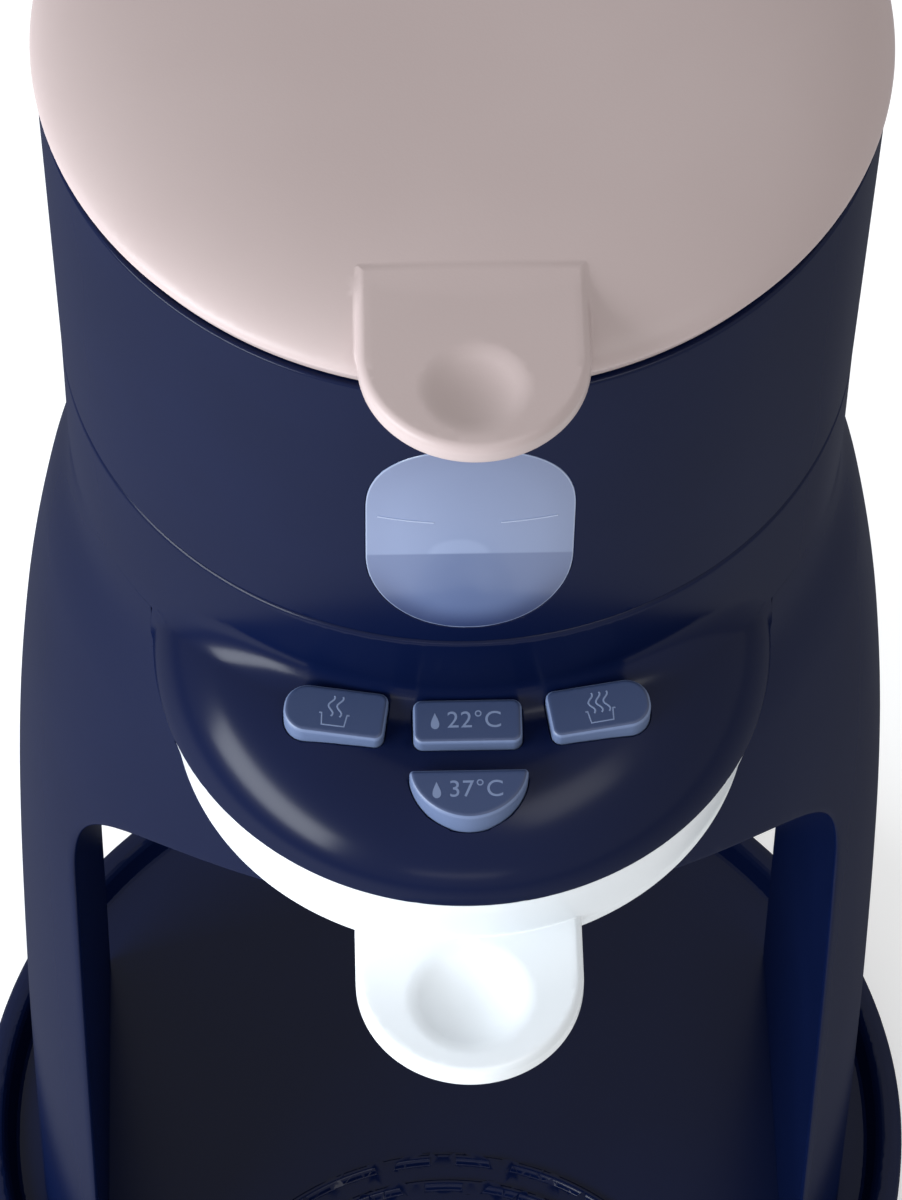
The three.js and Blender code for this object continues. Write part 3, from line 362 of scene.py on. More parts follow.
def front_of(reach):
    return (HEAD_PLATEAU - reach) / math.cos(HEAD_TILT)


SIDE_KEY = {"length": 14.2, "depth": 7.2, "reach": 18.2, "y": front_of(KEY_ROW) + 1.8,
            "turn": math.radians(9)}
COOL_KEY = {"length": 15.0, "depth": 6.6, "y": front_of(KEY_ROW)}
WARM_KEY = {"length": 16.4, "depth": 8.6, "y": front_of(70.0)}


def bar_key_plan(x, y, length, depth, corner, round_end=None):
    """A bar with small corners, and at the end that is given by its side a larger round."""
    radius = corner if round_end is None else np.where(x * round_end > 0, depth * KEY_END_ROUND, corner)
    across, along = np.abs(x) - length / 2 + radius, np.abs(y) - depth / 2 + radius
    outside = np.hypot(np.maximum(across, 0), np.maximum(along, 0))
    return np.minimum(np.maximum(across, along), 0) + outside - radius


def side_key_plan(x, y, side):
    turn = side * SIDE_KEY["turn"]
    x, y = x - side * SIDE_KEY["reach"], y - SIDE_KEY["y"]
    u, v = x * math.cos(turn) + y * math.sin(turn), y * math.cos(turn) - x * math.sin(turn)
    return bar_key_plan(u, v, SIDE_KEY["length"], SIDE_KEY["depth"], KEY_CORNER, side)


def warm_key_plan(x, y):
    back = WARM_KEY["y"] + WARM_KEY["depth"] / 2 - WARM_KEY_SHORT
    reach = WARM_KEY["depth"] - WARM_KEY_SHORT
    bowl = superellipse(x, y - back, WARM_KEY["length"] / 2, reach, WARM_KEY_POWER)
    return meet(bowl, y - back, KEY_ROUND)


def cool_key_plan(x, y):
    return bar_key_plan(x, y - COOL_KEY["y"], COOL_KEY["length"], COOL_KEY["depth"], KEY_CORNER)


KEY_PLANS = {
    "steam_warm_key": lambda x, y: side_key_plan(x, y, -1),
    "steam_sterilise_key": lambda x, y: side_key_plan(x, y, 1),
    "cool_water_key": cool_key_plan,
    "warm_water_key": warm_key_plan,
}


def key_field(name):
    plan = KEY_PLANS[name]

    def field(x, y, z):
        x, along, above = key_point(x, y, z)
        return meet(plan(x, along), slab(above, -KEY_DEPTH, KEY_PROUD), KEY_ROUND)

    return field


def head_housing(x, y, z):
    rho = np.hypot(x, y)
    collar = meet(meet(rho - COLLAR_RADIUS, z - COLLAR_TOP, COLLAR_EDGE), COLLAR_BOTTOM - z, BAY_EDGE)
    head = np.maximum.reduce([head_form(x, y, z), HEAD_LOW - z, y + HEAD_BACK])
    corner = np.maximum.reduce([head_plan(x, y), rho - bell_radius(z), HEAD_LOW - z, y + HEAD_BACK,
                                z - COLLAR_BOTTOM - SMALL_ROUND])
    head = join(head, corner, HEAD_CORNER)
    fade = 1 - np.clip(-head_plan(x, y) / HEAD_FILLET_FADE, 0, 1)
    fillet = HEAD_FILLET * np.maximum(1 - fade ** 2, HEAD_FILLET_LEAST)
    whole = join(collar, head, fillet)
    whole = np.maximum(whole, np.minimum(COLLAR_BOTTOM - z, head))
    bore = COLLAR_RADIUS - COLLAR_WALL
    recess = np.maximum(rho - bore, COLLAR_TOP - DECK_RECESS - z)
    hollow = np.maximum(head_form(x, y, z, HEAD_WALL, HEAD_WALL), y + HEAD_BACK)
    whole = outside_of(whole, recess, rho - bore + COLLAR_LEDGE, hollow)
    kx, along, above = key_point(x, y, z)
    for plan in KEY_PLANS.values():
        opening = plan(kx, along) - KEY_GAP
        whole = outside_of(whole, np.maximum(opening, -KEY_DEPTH - KEY_ROOM - above), edge=KEY_GAP)
    return whole


def tray_plan(x, y):
    """Signed distance in plan to the tray's widest outline: two rounds and their tangents."""
    spacing = TRAY_BACK_OFFSET + BOTTLE_OFFSET
    lean = (TRAY_BACK_RADIUS - TRAY_FRONT_RADIUS) / spacing
    across, along = np.abs(x), TRAY_BACK_OFFSET - y
    level = math.sqrt(1 - lean ** 2)
    side = along * level - across * lean
    back_round = np.hypot(across, along) - TRAY_BACK_RADIUS
    front_round = np.hypot(across, along - spacing) - TRAY_FRONT_RADIUS
    flank = across * level + along * lean - TRAY_BACK_RADIUS
    return np.where(side < 0, back_round, np.where(side > spacing * level, front_round, flank))


def tray_profile():
    """The tray's section, as [inset, level] corners from the foot of its wall over the rim to the floor."""
    outside_shares = ((1, 0), (0.62, 0.06), (0.35, 0.16), (0.16, 0.28), (0.06, 0.4), (0.01, 0.51), (0, 0.62))
    rim_shares = ((0.02, 0.3), (0.07, 0.62), (0.15, 0.82), (0.24, 0.92), (0.33, 0.98), (0.42, 1),
                  (0.5, 1), (0.58, 0.97), (0.66, 0.89), (0.74, 0.75), (0.82, 0.48), (0.9, 0.22),
                  (0.95, 0.06), (1.04, 0))
    wall = TRAY_TUCK + TRAY_WALL
    deep = TRAY_BACK_RADIUS
    points = [(TRAY_TUCK * tuck, TRAY_BOTTOM + TRAY_HEIGHT * rise) for tuck, rise in outside_shares]
    points += [(TRAY_RIM_WIDTH * across, TRAY_FLOOR_LEVEL + TRAY_FLOOR_DROP * rise)
               for across, rise in rim_shares]
    points += [(deep, TRAY_FLOOR_LEVEL), (deep, TRAY_FLOOR_LEVEL - TRAY_FLOOR_WALL)]
    points += [(wall, TRAY_FLOOR_LEVEL - TRAY_FLOOR_WALL), (wall, TRAY_BOTTOM)]
    return points


def base_tray(x, y, z):
    tray = polygon(-tray_plan(x, y), z, tray_profile())
    from_bottle = np.hypot(x, y + BOTTLE_OFFSET)
    for radius in RING_RADII:
        ridge = superellipse(from_bottle - radius, z - TRAY_FLOOR_LEVEL, RING_WIDTH / 2, RING_HEIGHT, 2)
        tray = join(tray, ridge, CLEARANCE)
    pocket = np.maximum(from_bottle - POCKET_RADIUS, POCKET_LEVEL - z)
    return outside_of(tray, pocket, from_bottle - POCKET_HOLE, edge=CLEARANCE)


def drawer_lean(z):
    taper = HEAD_RADIUS - DRAWER_LOW_RADIUS
    share = np.clip((z - DRAWER_LOW) / DRAWER_HEIGHT, 0, 1)
    return DRAWER_INSET + taper * (1 - share)


def mixing_drawer(x, y, z):
    plan = head_plan(x, y) + drawer_lean(z)
    back = y + HEAD_BACK + CLEARANCE
    outside = meet(meet(meet(plan, back, DRAWER_WALL), DRAWER_FLOOR - z), z - DRAWER_TOP, BAY_EDGE)
    hollow = meet(plan + DRAWER_WALL, back + DRAWER_WALL, DRAWER_WALL)
    hollow = np.maximum(hollow, DRAWER_LOW - z)
    rho = np.hypot(x, y + HEAD_CENTRE + CLEARANCE)
    bottom = DRAWER_FLOOR - FUNNEL_DROP
    wall = DRAWER_WALL
    outlet, funnel, top = OUTLET_RADIUS + wall, FUNNEL_RADIUS + wall, DRAWER_LOW - CLEARANCE
    cone = polygon(rho, z, [(-1, bottom), (outlet, bottom), (outlet, bottom + wall), (funnel, DRAWER_FLOOR),
                            (funnel, top), (-1, top)])
    flow = polygon(rho, z, [(-1, bottom - wall), (OUTLET_RADIUS, bottom - wall),
                            (OUTLET_RADIUS, bottom + wall), (FUNNEL_RADIUS, DRAWER_LOW),
                            (FUNNEL_RADIUS, DRAWER_LOW + wall), (-1, DRAWER_LOW + wall)])
    level = DRAWER_FLOOR + TAB_THICKNESS
    tab_plan = np.maximum(tongue(x, y, TAB_HALF_WIDTH, TAB_REACH), y + HEAD_CENTRE)
    tab = meet(tab_plan, slab(z, DRAWER_FLOOR, level), TAB_ROUND)
    tab = outside_of(tab, sphere_dimple(x, y, z, DIMPLE_RADIUS, DIMPLE_DEPTH, DIMPLE_REACH, level))
    shell = outside_of(np.minimum(outside, cone), hollow)
    shell = join(shell, np.maximum(tab, -hollow), CLEARANCE)
    return outside_of(shell, flow)


def window(x, z, inset=0.0):
    middle = TANK_FOOT + WINDOW_SILL + WINDOW_HEIGHT / 2
    above = np.maximum(np.abs(z - middle) - WINDOW_HEIGHT / 2 + WINDOW_END, 0)
    return superellipse(x, above, WINDOW_HALF_WIDTH - inset, WINDOW_END - inset, WINDOW_POWER)


def tank_radius(z):
    return np.interp(z, (TANK_FOOT, TANK_TOP), (TANK_FOOT_RADIUS, TANK_TOP_RADIUS))


def tank_sleeve(x, y, z):
    rho = np.hypot(x, y)
    wall = np.maximum(rho - tank_radius(z), tank_radius(z) - SLEEVE_WALL - rho)
    sleeve = meet(wall, slab(z, TANK_FOOT, TANK_TOP))
    return outside_of(sleeve, np.maximum(window(x, z), y), edge=PANE_EDGE)


def tank_vessel(x, y, z):
    rho = np.hypot(x, y)
    inward = SLEEVE_WALL + CLEARANCE
    foot, top = TANK_FOOT_RADIUS - inward, TANK_TOP_RADIUS - inward
    ring = TANK_FOOT_RADIUS - COLLAR_WALL - 2 * CLEARANCE
    neck = VALVE_BORE + VALVE_NECK_WALL
    floor = TANK_FOOT + VESSEL_WALL
    neck_bottom = TANK_FOOT - VALVE_NECK_DROP
    vessel = polygon(rho, z, [
        (VALVE_BORE, neck_bottom), (neck, neck_bottom), (neck, TANK_FOOT),
        (ring - VESSEL_FOOT_RING, TANK_FOOT), (ring - VESSEL_FOOT_RING, DECK_TOP + CLEARANCE),
        (ring, DECK_TOP + CLEARANCE), (ring, TANK_FOOT),
        (foot, TANK_FOOT), (top, TANK_TOP), (top - VESSEL_WALL, TANK_TOP), (foot - VESSEL_WALL, floor),
        (VALVE_BORE, floor)])
    pane = np.maximum.reduce([window(x, z, PANE_GAP), y, foot - VESSEL_WALL / 2 - rho])
    return join(vessel, meet(pane, rho - tank_radius(z), PANE_EDGE), CLEARANCE)


def lid_profile():
    turns = np.linspace(0, math.pi / 2, 60)
    dome = [(LID_RADIUS * math.sin(turn) ** (2 / LID_POWER), LID_WIDEST + LID_CROWN * math.cos(turn))
            for turn in turns]
    skirt = TANK_TOP_RADIUS - SLEEVE_WALL - 2 * CLEARANCE - VESSEL_WALL - CLEARANCE
    inner = skirt - LID_SKIRT_WALL
    ceiling = LID_WIDEST + LID_CROWN - LID_WALL
    return [(-1, LID_WIDEST + LID_CROWN), *dome, (LID_RADIUS - LID_UNDERCUT / 2, LID_SEAT), (skirt, LID_SEAT),
            (skirt, LID_SEAT - LID_SKIRT_DEPTH), (inner, LID_SEAT - LID_SKIRT_DEPTH), (inner, LID_WIDEST),
            (inner - LID_CROWN, ceiling - CLEARANCE), (-1, ceiling)]


def lid(x, y, z):
    dome = polygon(np.hypot(x, y), z, lid_profile())
    level = LID_WIDEST + LID_CROWN - LID_TAB_DROP
    plan = np.maximum(tongue(x, y, LID_TAB_HALF_WIDTH, LID_TAB_REACH), y + LID_TAB_START)
    tab = meet(plan, slab(z, level - LID_TAB_THICKNESS, level), TAB_ROUND)
    thumb = sphere_dimple(x, y, z, LID_DIMPLE_RADIUS, LID_DIMPLE_DEPTH, LID_DIMPLE_REACH, level)
    return outside_of(join(dome, tab, SMALL_ROUND), thumb)


# Shaping: a form's surface is found on a grid, drawn onto the form, and split finer where it turns

def slope_of(points, field, value, step=0.01):
    """The field's slope at each point."""
    slope = np.empty_like(points)
    for axis in range(3):
        ahead = points.copy()
        ahead[:, axis] += step
        slope[:, axis] = (field(*ahead.T) - value) / step
    return slope


def pull_onto(points, field, reach, rounds=4):
    """Moves points in millimetres onto the field's surface, none further than its reach."""
    start = points
    for _ in range(rounds):
        value = field(*points.T)
        slope = slope_of(points, field, value)
        size = np.maximum((slope ** 2).sum(axis=1), LEAST_STEEPNESS)
        shift = -(value / size)[:, None] * slope
        far = np.maximum(np.linalg.norm(shift, axis=1), 1e-9)
        points = points + shift * (np.minimum(far, reach / 2) / far)[:, None]
    moved = points - start
    far = np.maximum(np.linalg.norm(moved, axis=1), 1e-9)
    return start + moved * (np.minimum(far, reach) / far)[:, None]


def normals_of(points, field):
    slope = slope_of(points, field, field(*points.T))
    return slope / np.maximum(np.linalg.norm(slope, axis=1), 1e-9)[:, None]


def crossings_of(field, start, counts, cell):
    """Where the surface crosses the grid's lines, and the four cells round each place, in outward order."""
    lines = [start[axis] + cell * np.arange(counts[axis]) for axis in range(3)]
    value = field(*np.meshgrid(*lines, indexing="ij"))
    inside = value < 0
    places, rings = [], []
    for axis in range(3):
        step = np.eye(3, dtype=int)[axis]
        last = counts[axis]
        at = np.argwhere(inside.take(range(last - 1), axis) != inside.take(range(1, last), axis))
        near, far = value[tuple(at.T)], value[tuple((at + step).T)]
        places.append(start + cell * (at + (near / (near - far))[:, None] * step))
        beside, below = np.roll(step, 1), np.roll(step, 2)
        ring = np.stack([at, at - beside, at - beside - below, at - below], axis=1)
        ring[near >= 0] = ring[near >= 0][:, ::-1]
        rings.append(ring)
    return np.vstack(places), np.vstack(rings)


def surface_of(field, low, high, cell):
    """Points and triangles over a form, with a point on each sharp edge and corner that a cell holds."""
    counts = np.ceil((high - low) / cell).astype(int) + 3
    start = (low + high - cell * (counts - 1)) / 2
    places, rings = crossings_of(field, start, counts, cell)
    places = pull_onto(places, field, cell / 2, 2)
    facing = normals_of(places, field)
    cell_number = rings.reshape(-1, 3) @ (counts[1] * counts[2], counts[2], 1)
    cells, quads = np.unique(cell_number, return_inverse=True)
    owner = quads.reshape(-1)
    places, facing = np.repeat(places, 4, axis=0), np.repeat(facing, 4, axis=0)
    share = np.bincount(owner)

    def total(weights):
        return np.bincount(owner, weights)

    middle = np.stack([total(places[:, axis]) / share for axis in range(3)], axis=1)
    off = (facing * (places - middle[owner])).sum(axis=1)
    pull = np.stack([total(facing[:, axis] * off) for axis in range(3)], axis=1)
    planes = np.stack([total(facing[:, a] * facing[:, b]) for a in range(3) for b in range(3)], axis=1)
    planes = planes.reshape(-1, 3, 3) + MIDDLE_WEIGHT * share[:, None, None] * np.eye(3)
    points = middle + np.linalg.solve(planes, pull[:, :, None])[:, :, 0]
    corner = start + cell * np.stack(np.unravel_index(cells, counts), axis=1)
    points = pull_onto(np.clip(points, corner, corner + cell), field, cell, 3)
    a, b, c, d = quads.reshape(-1, 4).T
    one = np.abs(field(*((points[a] + points[c]) / 2).T))
    other = np.abs(field(*((points[b] + points[d]) / 2).T))
    along = (one <= other)[:, None]
    first = np.where(along, np.stack([a, b, c], axis=1), np.stack([a, b, d], axis=1))
    second = np.where(along, np.stack([a, c, d], axis=1), np.stack([b, c, d], axis=1))
    return points, np.vstack([first, second])


def split_where_it_turns(points, triangles, normals, turn, least):
    """Halves the edges over which the surface turns, and splits their triangles to match."""
    pairs = np.sort(triangles[:, [0, 1, 1, 2, 2, 0]].reshape(-1, 2), axis=1)
    edges, back = np.unique(pairs, axis=0, return_inverse=True)
    first, second = edges.T
    bends = (normals[first] * normals[second]).sum(axis=1) < math.cos(turn)
    chosen = bends & (np.linalg.norm(points[first] - points[second], axis=1) > least)
    middles = np.full(len(edges), -1)
    middles[chosen] = len(points) + np.arange(chosen.sum())
    halves = middles[back.reshape(-1)].reshape(-1, 3)
    grown = [triangles[(halves < 0).all(axis=1)]]
    for turned in range(3):
        a, b, c = np.roll(triangles, -turned, axis=1).T
        ab, bc, ca = np.roll(halves, -turned, axis=1).T
        one = (ab >= 0) & (bc < 0) & (ca < 0)
        grown += [np.stack(rows, axis=1)[one] for rows in ((a, ab, c), (ab, b, c))]
        two = (ab >= 0) & (bc >= 0) & (ca < 0)
        grown += [np.stack(rows, axis=1)[two] for rows in ((ab, b, bc), (a, ab, bc), (a, bc, c))]
    a, b, c = triangles.T
    ab, bc, ca = halves.T
    every = (halves >= 0).all(axis=1)
    grown += [np.stack(rows, axis=1)[every] for rows in ((a, ab, ca), (ab, b, bc), (ca, bc, c), (ab, bc, ca))]
    return np.vstack([points, points[edges[chosen]].mean(axis=1)]), np.vstack(grown)


def shaped(name, node, field, cell, body, slot, material, rounds=3, turn=math.radians(13), least=0.12):
    """A smooth piece that stands for a CAD node, found on a grid of cells of that size in millimetres."""
    low, high = (np.array(corner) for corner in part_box(node))
    points, triangles = surface_of(field, low / MM - AXIS, high / MM - AXIS, cell)
    for _ in range(rounds):
        points, triangles = split_where_it_turns(points, triangles, normals_of(points, field), turn, least)
        points = pull_onto(points, field, cell / 2, 2)
    normals = normals_of(points, field)
    mesh = bpy.data.meshes.new(name)
    mesh.from_pydata(np.clip((points + AXIS) * MM, low, high), [], triangles.tolist())
    mesh.shade_smooth()
    mesh.normals_split_custom_set_from_vertices(normals)
    mesh.update()
    piece = bpy.data.objects.new(name, mesh)
    bpy.context.scene.collection.objects.link(piece)
    return dressed(piece, body, slot, material, node)


def dressed(piece, body, slot, material, *nodes):
    piece.data.materials.clear()
    piece.data.materials.append(material)
    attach(piece, body)
    if nodes:
        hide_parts(*nodes)
    return piece


# Materials

class Wire:
    """A shader value that takes part in sums."""

    def __init__(self, paint, socket):
        self.paint = paint
        self.socket = socket

    def __add__(self, other):
        return self.paint.maths("ADD", self, other)

    def __sub__(self, other):
        return self.paint.maths("SUBTRACT", self, other)

    def __rsub__(self, other):
        return self.paint.maths("SUBTRACT", other, self)

    def __mul__(self, other):
        return self.paint.maths("MULTIPLY", self, other)

    __radd__ = __add__
    __rmul__ = __mul__


class Paint:
    """A material with one Principled shader, and the nodes that feed it."""

    def __init__(self, name, **fixed):
        self.material = bpy.data.materials.new(name)
        self.material.use_nodes = True
        self.tree = self.material.node_tree
        self.shader = next(n for n in self.tree.nodes if n.type == "BSDF_PRINCIPLED")
        for socket, value in fixed.items():
            self.shader.inputs[socket].default_value = value
        self.place = self.node("ShaderNodeTexCoord", out="Object")

    def node(self, kind, settings=None, inputs=None, out=0):
        made = self.tree.nodes.new(kind)
        for key, value in (settings or {}).items():
            setattr(made, key, value)
        for key, value in (inputs or {}).items():
            self.feed(made.inputs[key], value)
        return Wire(self, made.outputs[out])

    def feed(self, socket, value):
        if isinstance(value, Wire):
            self.tree.links.new(value.socket, socket)
        else:
            socket.default_value = value

    def maths(self, operation, a, b):
        return self.node("ShaderNodeMath", {"operation": operation}, {0: a, 1: b})

    def magnitude(self, value):
        return self.maths("ABSOLUTE", value, 0.0)

    def largest(self, a, b):
        return self.maths("MAXIMUM", a, b)

    def power(self, value, exponent):
        return self.maths("POWER", value, exponent)

    def noise(self, scale, detail=3.0, roughness=0.55):
        return self.node("ShaderNodeTexNoise", None, {"Vector": self.place, "Scale": scale, "Detail": detail,
                                                      "Roughness": roughness}, out="Fac")

    def ramp(self, value, low, high):
        """0 below low, 1 above high, smooth between."""
        return self.node("ShaderNodeMapRange", {"interpolation_type": "SMOOTHSTEP"},
                         {"Value": value, "From Min": low, "From Max": high})

    def mix(self, share, first, second):
        wire = self.node("ShaderNodeMix", {"data_type": "RGBA"}, out=2)
        made = wire.socket.node
        self.feed(made.inputs[0], share)
        self.feed(made.inputs[6], first)
        self.feed(made.inputs[7], second)
        return wire

    def axis(self, name):
        return self.node("ShaderNodeSeparateXYZ", None, {0: self.place}, out=name)

    def bump(self, height, distance):
        self.shows("Normal", self.node("ShaderNodeBump", None, {"Height": height, "Distance": distance,
                                                                "Strength": 1.0}))

    def shows(self, socket, value):
        self.feed(self.shader.inputs[socket], value)


def moulded(name, colour, tint, roughness, grain, **fixed):
    """Moulded plastic: faint drift of colour and gloss, and the fine grain of the mould."""
    paint = Paint(name, **fixed)
    drift = paint.noise(28.0, 2.0)
    paint.shows("Base Color", paint.mix(paint.ramp(drift, 0.35, 0.65), (*colour, 1), (*tint, 1)))
    paint.shows("Roughness", roughness + (paint.noise(60.0, 4.0) - 0.5) * 0.08)
    paint.bump(paint.noise(2600.0, 2.0), grain * MM)
    return paint.material


def key_finish():
    """Slate-blue faces over side walls painted lighter: painted light, as light falls on the walls."""
    paint = Paint("key slate", **{"Roughness": 0.46})
    rise = paint.axis("Z") * math.cos(HEAD_TILT) - paint.axis("Y") * math.sin(HEAD_TILT)
    top = (HEAD_TOP * math.cos(HEAD_TILT) - (AXIS[1] - HEAD_PLATEAU) * math.sin(HEAD_TILT) + KEY_PROUD) * MM
    low, high = KEY_FACE_EDGE
    face = paint.ramp(rise, top - low * MM, top - high * MM)
    # Painted light: the side walls are lighter than the faces because light falls on them.
    paint.shows("Base Color", paint.mix(face, (0.115, 0.158, 0.28, 1), (0.026, 0.043, 0.105, 1)))
    paint.shows("Roughness", 0.45 + (paint.noise(400.0) - 0.5) * 0.1)
    paint.bump(paint.noise(3200.0, 2.0), 0.006 * MM)
    return paint.material


def tint_and_painted_light_finish():
    """Milky blue-grey vessel, darker below the water's level as painted shade, with painted shade towards the
    top, a painted glint, painted shade inside the pane's edge, and a painted highlight line round the pane.
    """
    paint = Paint("tank tint and painted light", **{"Coat Weight": 0.5, "Coat Roughness": 0.1})
    x, z = paint.axis("X"), paint.axis("Z")
    level = z + x * x * (PANE_WATER_DIP / MM)
    # Painted shade: the pane is darker below the water's level, where the water behind it looks darker.
    below_water_shade = 1.0 - paint.ramp(level, (PANE_WATER - WATER_EDGE) * MM, (PANE_WATER + WATER_EDGE) * MM)
    # Painted shade: above the water's level the pane darkens towards the top.
    high = paint.ramp(z, PANE_WATER * MM, (PANE_WATER + PANE_SHADE_RISE) * MM)
    colour = paint.mix(high, (0.15, 0.195, 0.335, 1), (0.11, 0.145, 0.265, 1))
    # Painted highlight: a soft lighter glint on the front of the pane, just above the water's level.
    glint = (x * (1 / MM) + GLINT_OFF) * (1 / GLINT_HALF_WIDTH)
    rise = (level * (1 / MM) - PANE_WATER) * (1 / GLINT_HALF_HEIGHT)
    painted_glint = (1.0 - paint.ramp(glint * glint + rise * rise, 0.55, 1.05)) * GLINT_STRENGTH
    behind = paint.ramp(paint.axis("Y"), (AXIS[1] - PANE_EDGE_FADE) * MM, AXIS[1] * MM)
    painted_glint = painted_glint * (1.0 - behind)
    colour = paint.mix(painted_glint, colour, (0.27, 0.33, 0.5, 1))
    colour = paint.mix(below_water_shade, colour, (0.078, 0.113, 0.235, 1))
    middle = (TANK_FOOT + WINDOW_SILL + WINDOW_HEIGHT / 2) * MM
    past = paint.largest(paint.magnitude(z - middle) - (WINDOW_HEIGHT / 2 - WINDOW_END) * MM, 0.0)
    across = paint.power(paint.magnitude(x) * (1 / (WINDOW_HALF_WIDTH * MM)), WINDOW_POWER)
    reach = paint.power(across + paint.power(past * (1 / (WINDOW_END * MM)), WINDOW_POWER), 1 / WINDOW_POWER)
    reach = reach + behind * 2.0
    # Painted shade: a dark band just inside the pane's edge, deeper towards its bottom.
    low = 1.0 - paint.ramp(z, (TANK_FOOT + WINDOW_SILL) * MM, (PANE_WATER - 2) * MM)
    rim = paint.ramp(reach, 0.62, 1.0) * (1.0 - paint.ramp(reach, 1.02, 1.2))
    colour = paint.mix(rim * (low * 0.8 + 0.14), colour, (0.012, 0.025, 0.09, 1))
    # Painted highlight: a thin light line round the pane's edge.
    line = paint.ramp(reach, 0.98, 0.987) * (1.0 - paint.ramp(reach, 1.01, 1.02))
    paint.shows("Base Color", paint.mix(line * 0.6, colour, (0.27, 0.33, 0.48, 1)))
    paint.shows("Roughness", 0.32 + (paint.noise(120.0) - 0.5) * 0.06)
    paint.bump(paint.noise(900.0, 2.0), 0.004 * MM)
    return paint.material


def metal_finish(name, colour, roughness, scratch):
    paint = Paint(name, **{"Metallic": 1.0})
    cloud = paint.noise(180.0, 4.0)
    darker = tuple(0.8 * c for c in colour)
    paint.shows("Base Color", paint.mix(cloud, (*colour, 1), (*darker, 1)))
    paint.shows("Roughness", roughness + (paint.noise(700.0, 5.0) - 0.5) * 0.25)
    paint.bump(paint.noise(1500.0, 3.0), scratch * MM)
    return paint.material


def coated_finish():
    paint = Paint("dark coating")
    speck = paint.ramp(paint.noise(2200.0, 1.0), 0.62, 0.7)
    paint.shows("Base Color", paint.mix(speck, (0.012, 0.016, 0.034, 1), (0.05, 0.055, 0.075, 1)))
    paint.shows("Roughness", 0.42 + (paint.noise(90.0) - 0.5) * 0.1)
    paint.bump(paint.noise(1200.0, 2.0), 0.008 * MM)
    return paint.material


def flat_ink(name, colour, tint):
    paint = Paint(name, **{"Roughness": 0.55})
    paint.shows("Base Color", paint.mix(paint.noise(800.0), (*colour, 1), (*tint, 1)))
    paint.bump(paint.noise(3200.0, 2.0), 0.004 * MM)
    return paint.material


FINISH = {
    "navy_housing": moulded("navy housing", (0.0018, 0.0048, 0.026), (0.0021, 0.0054, 0.0285), 0.45, 0.012,
                            **{"Specular IOR Level": 0.0, "Coat Weight": 0.094, "Coat IOR": 2.0,
                               "Coat Roughness": 0.21}),
    "pink_lid": moulded("dusty pink", (0.44, 0.358, 0.35), (0.452, 0.37, 0.362), 0.4, 0.008,
                        **{"Specular IOR Level": 0.3}),
    "white_drawer": moulded("white drawer", (0.71, 0.75, 0.78), (0.735, 0.77, 0.80), 0.32, 0.003,
                            **{"Coat Weight": 0.2, "Coat Roughness": 0.2}),
    "key_face": key_finish(),
    "tank_tint": tint_and_painted_light_finish(),
    "plate_coating": coated_finish(),
    "cast_heater": metal_finish("cast heater", (0.62, 0.63, 0.65), 0.5, 0.02),
    "screw_steel": metal_finish("plated steel", (0.55, 0.55, 0.56), 0.35, 0.006),
    "foot_rubber": moulded("foot rubber", (0.022, 0.022, 0.026), (0.03, 0.03, 0.034), 0.75, 0.03),
    "hose_silicone": moulded("hose silicone", (0.62, 0.63, 0.61), (0.68, 0.69, 0.67), 0.5, 0.006),
    "board_laminate": moulded("board laminate", (0.02, 0.11, 0.05), (0.03, 0.14, 0.06), 0.4, 0.006),
    "switch_body": moulded("black plastic", (0.022, 0.022, 0.024), (0.03, 0.03, 0.032), 0.5, 0.01),
}


# Printing on the keys and on the window

def curve_of(strokes, thickness):
    """Flat line work: each stroke is a list of points, closed when it ends where it starts."""
    curve = bpy.data.curves.new("line work", "CURVE")
    curve.dimensions = "3D"
    curve.bevel_depth = thickness / 2
    curve.bevel_resolution = 2
    curve.use_fill_caps = True
    for stroke in strokes:
        closed = stroke[0] == stroke[-1]
        points = stroke[:-1] if closed else stroke
        spline = curve.splines.new("POLY")
        spline.points.add(len(points) - 1)
        for point, place in zip(spline.points, points):
            point.co = (*place, 0, 1) if len(place) == 2 else (*place, 1)
        spline.use_cyclic_u = closed
    return curve


def to_mesh(name, curve, matrix, flatten=None):
    """A curve or a text as a mesh in its place."""
    holder = bpy.data.objects.new(name, curve)
    bpy.context.scene.collection.objects.link(holder)
    bpy.context.view_layer.update()
    mesh = bpy.data.meshes.new_from_object(holder.evaluated_get(bpy.context.evaluated_depsgraph_get()))
    bpy.data.objects.remove(holder)
    if flatten is not None:
        mesh.transform(Matrix.Diagonal((1, 1, flatten, 1)))
    mesh.transform(matrix)
    mesh.name = name
    piece = bpy.data.objects.new(name, mesh)
    bpy.context.scene.collection.objects.link(piece)
    return piece


def key_matrix(x, y, turn=0.0):
    """From millimetres on a key's top to the scene."""
    frame_on_head = (Matrix.Translation(Vector((0, (AXIS[1] - HEAD_PLATEAU) * MM, HEAD_TOP * MM)))
                     @ Matrix.Rotation(HEAD_TILT, 4, "X"))
    on_key = Matrix.Translation(Vector((x, y, KEY_PROUD + PRINT_RISE)) * MM)
    return frame_on_head @ on_key @ Matrix.Rotation(turn, 4, "Z") @ Matrix.Scale(MM, 4)


def drop_stroke(x, y, size, slim=0.52, tall=0.75):
    """A water drop, as a closed outline."""
    points = []
    for step in range(24):
        angle = 2 * math.pi * step / 24
        pinch = (0.5 - 0.5 * math.cos(angle)) ** 0.8
        points.append((x + slim * size * math.sin(angle) * pinch, y + tall * size * math.cos(angle)))
    return points + points[:1]


def wave_stroke(x, y, height, sway=0.38, steps=12):
    """A curl of steam that rises in one S."""
    return [(x + sway * math.sin(2.6 * math.pi * step / steps + 0.4), y + height * step / steps)
            for step in range(steps + 1)]


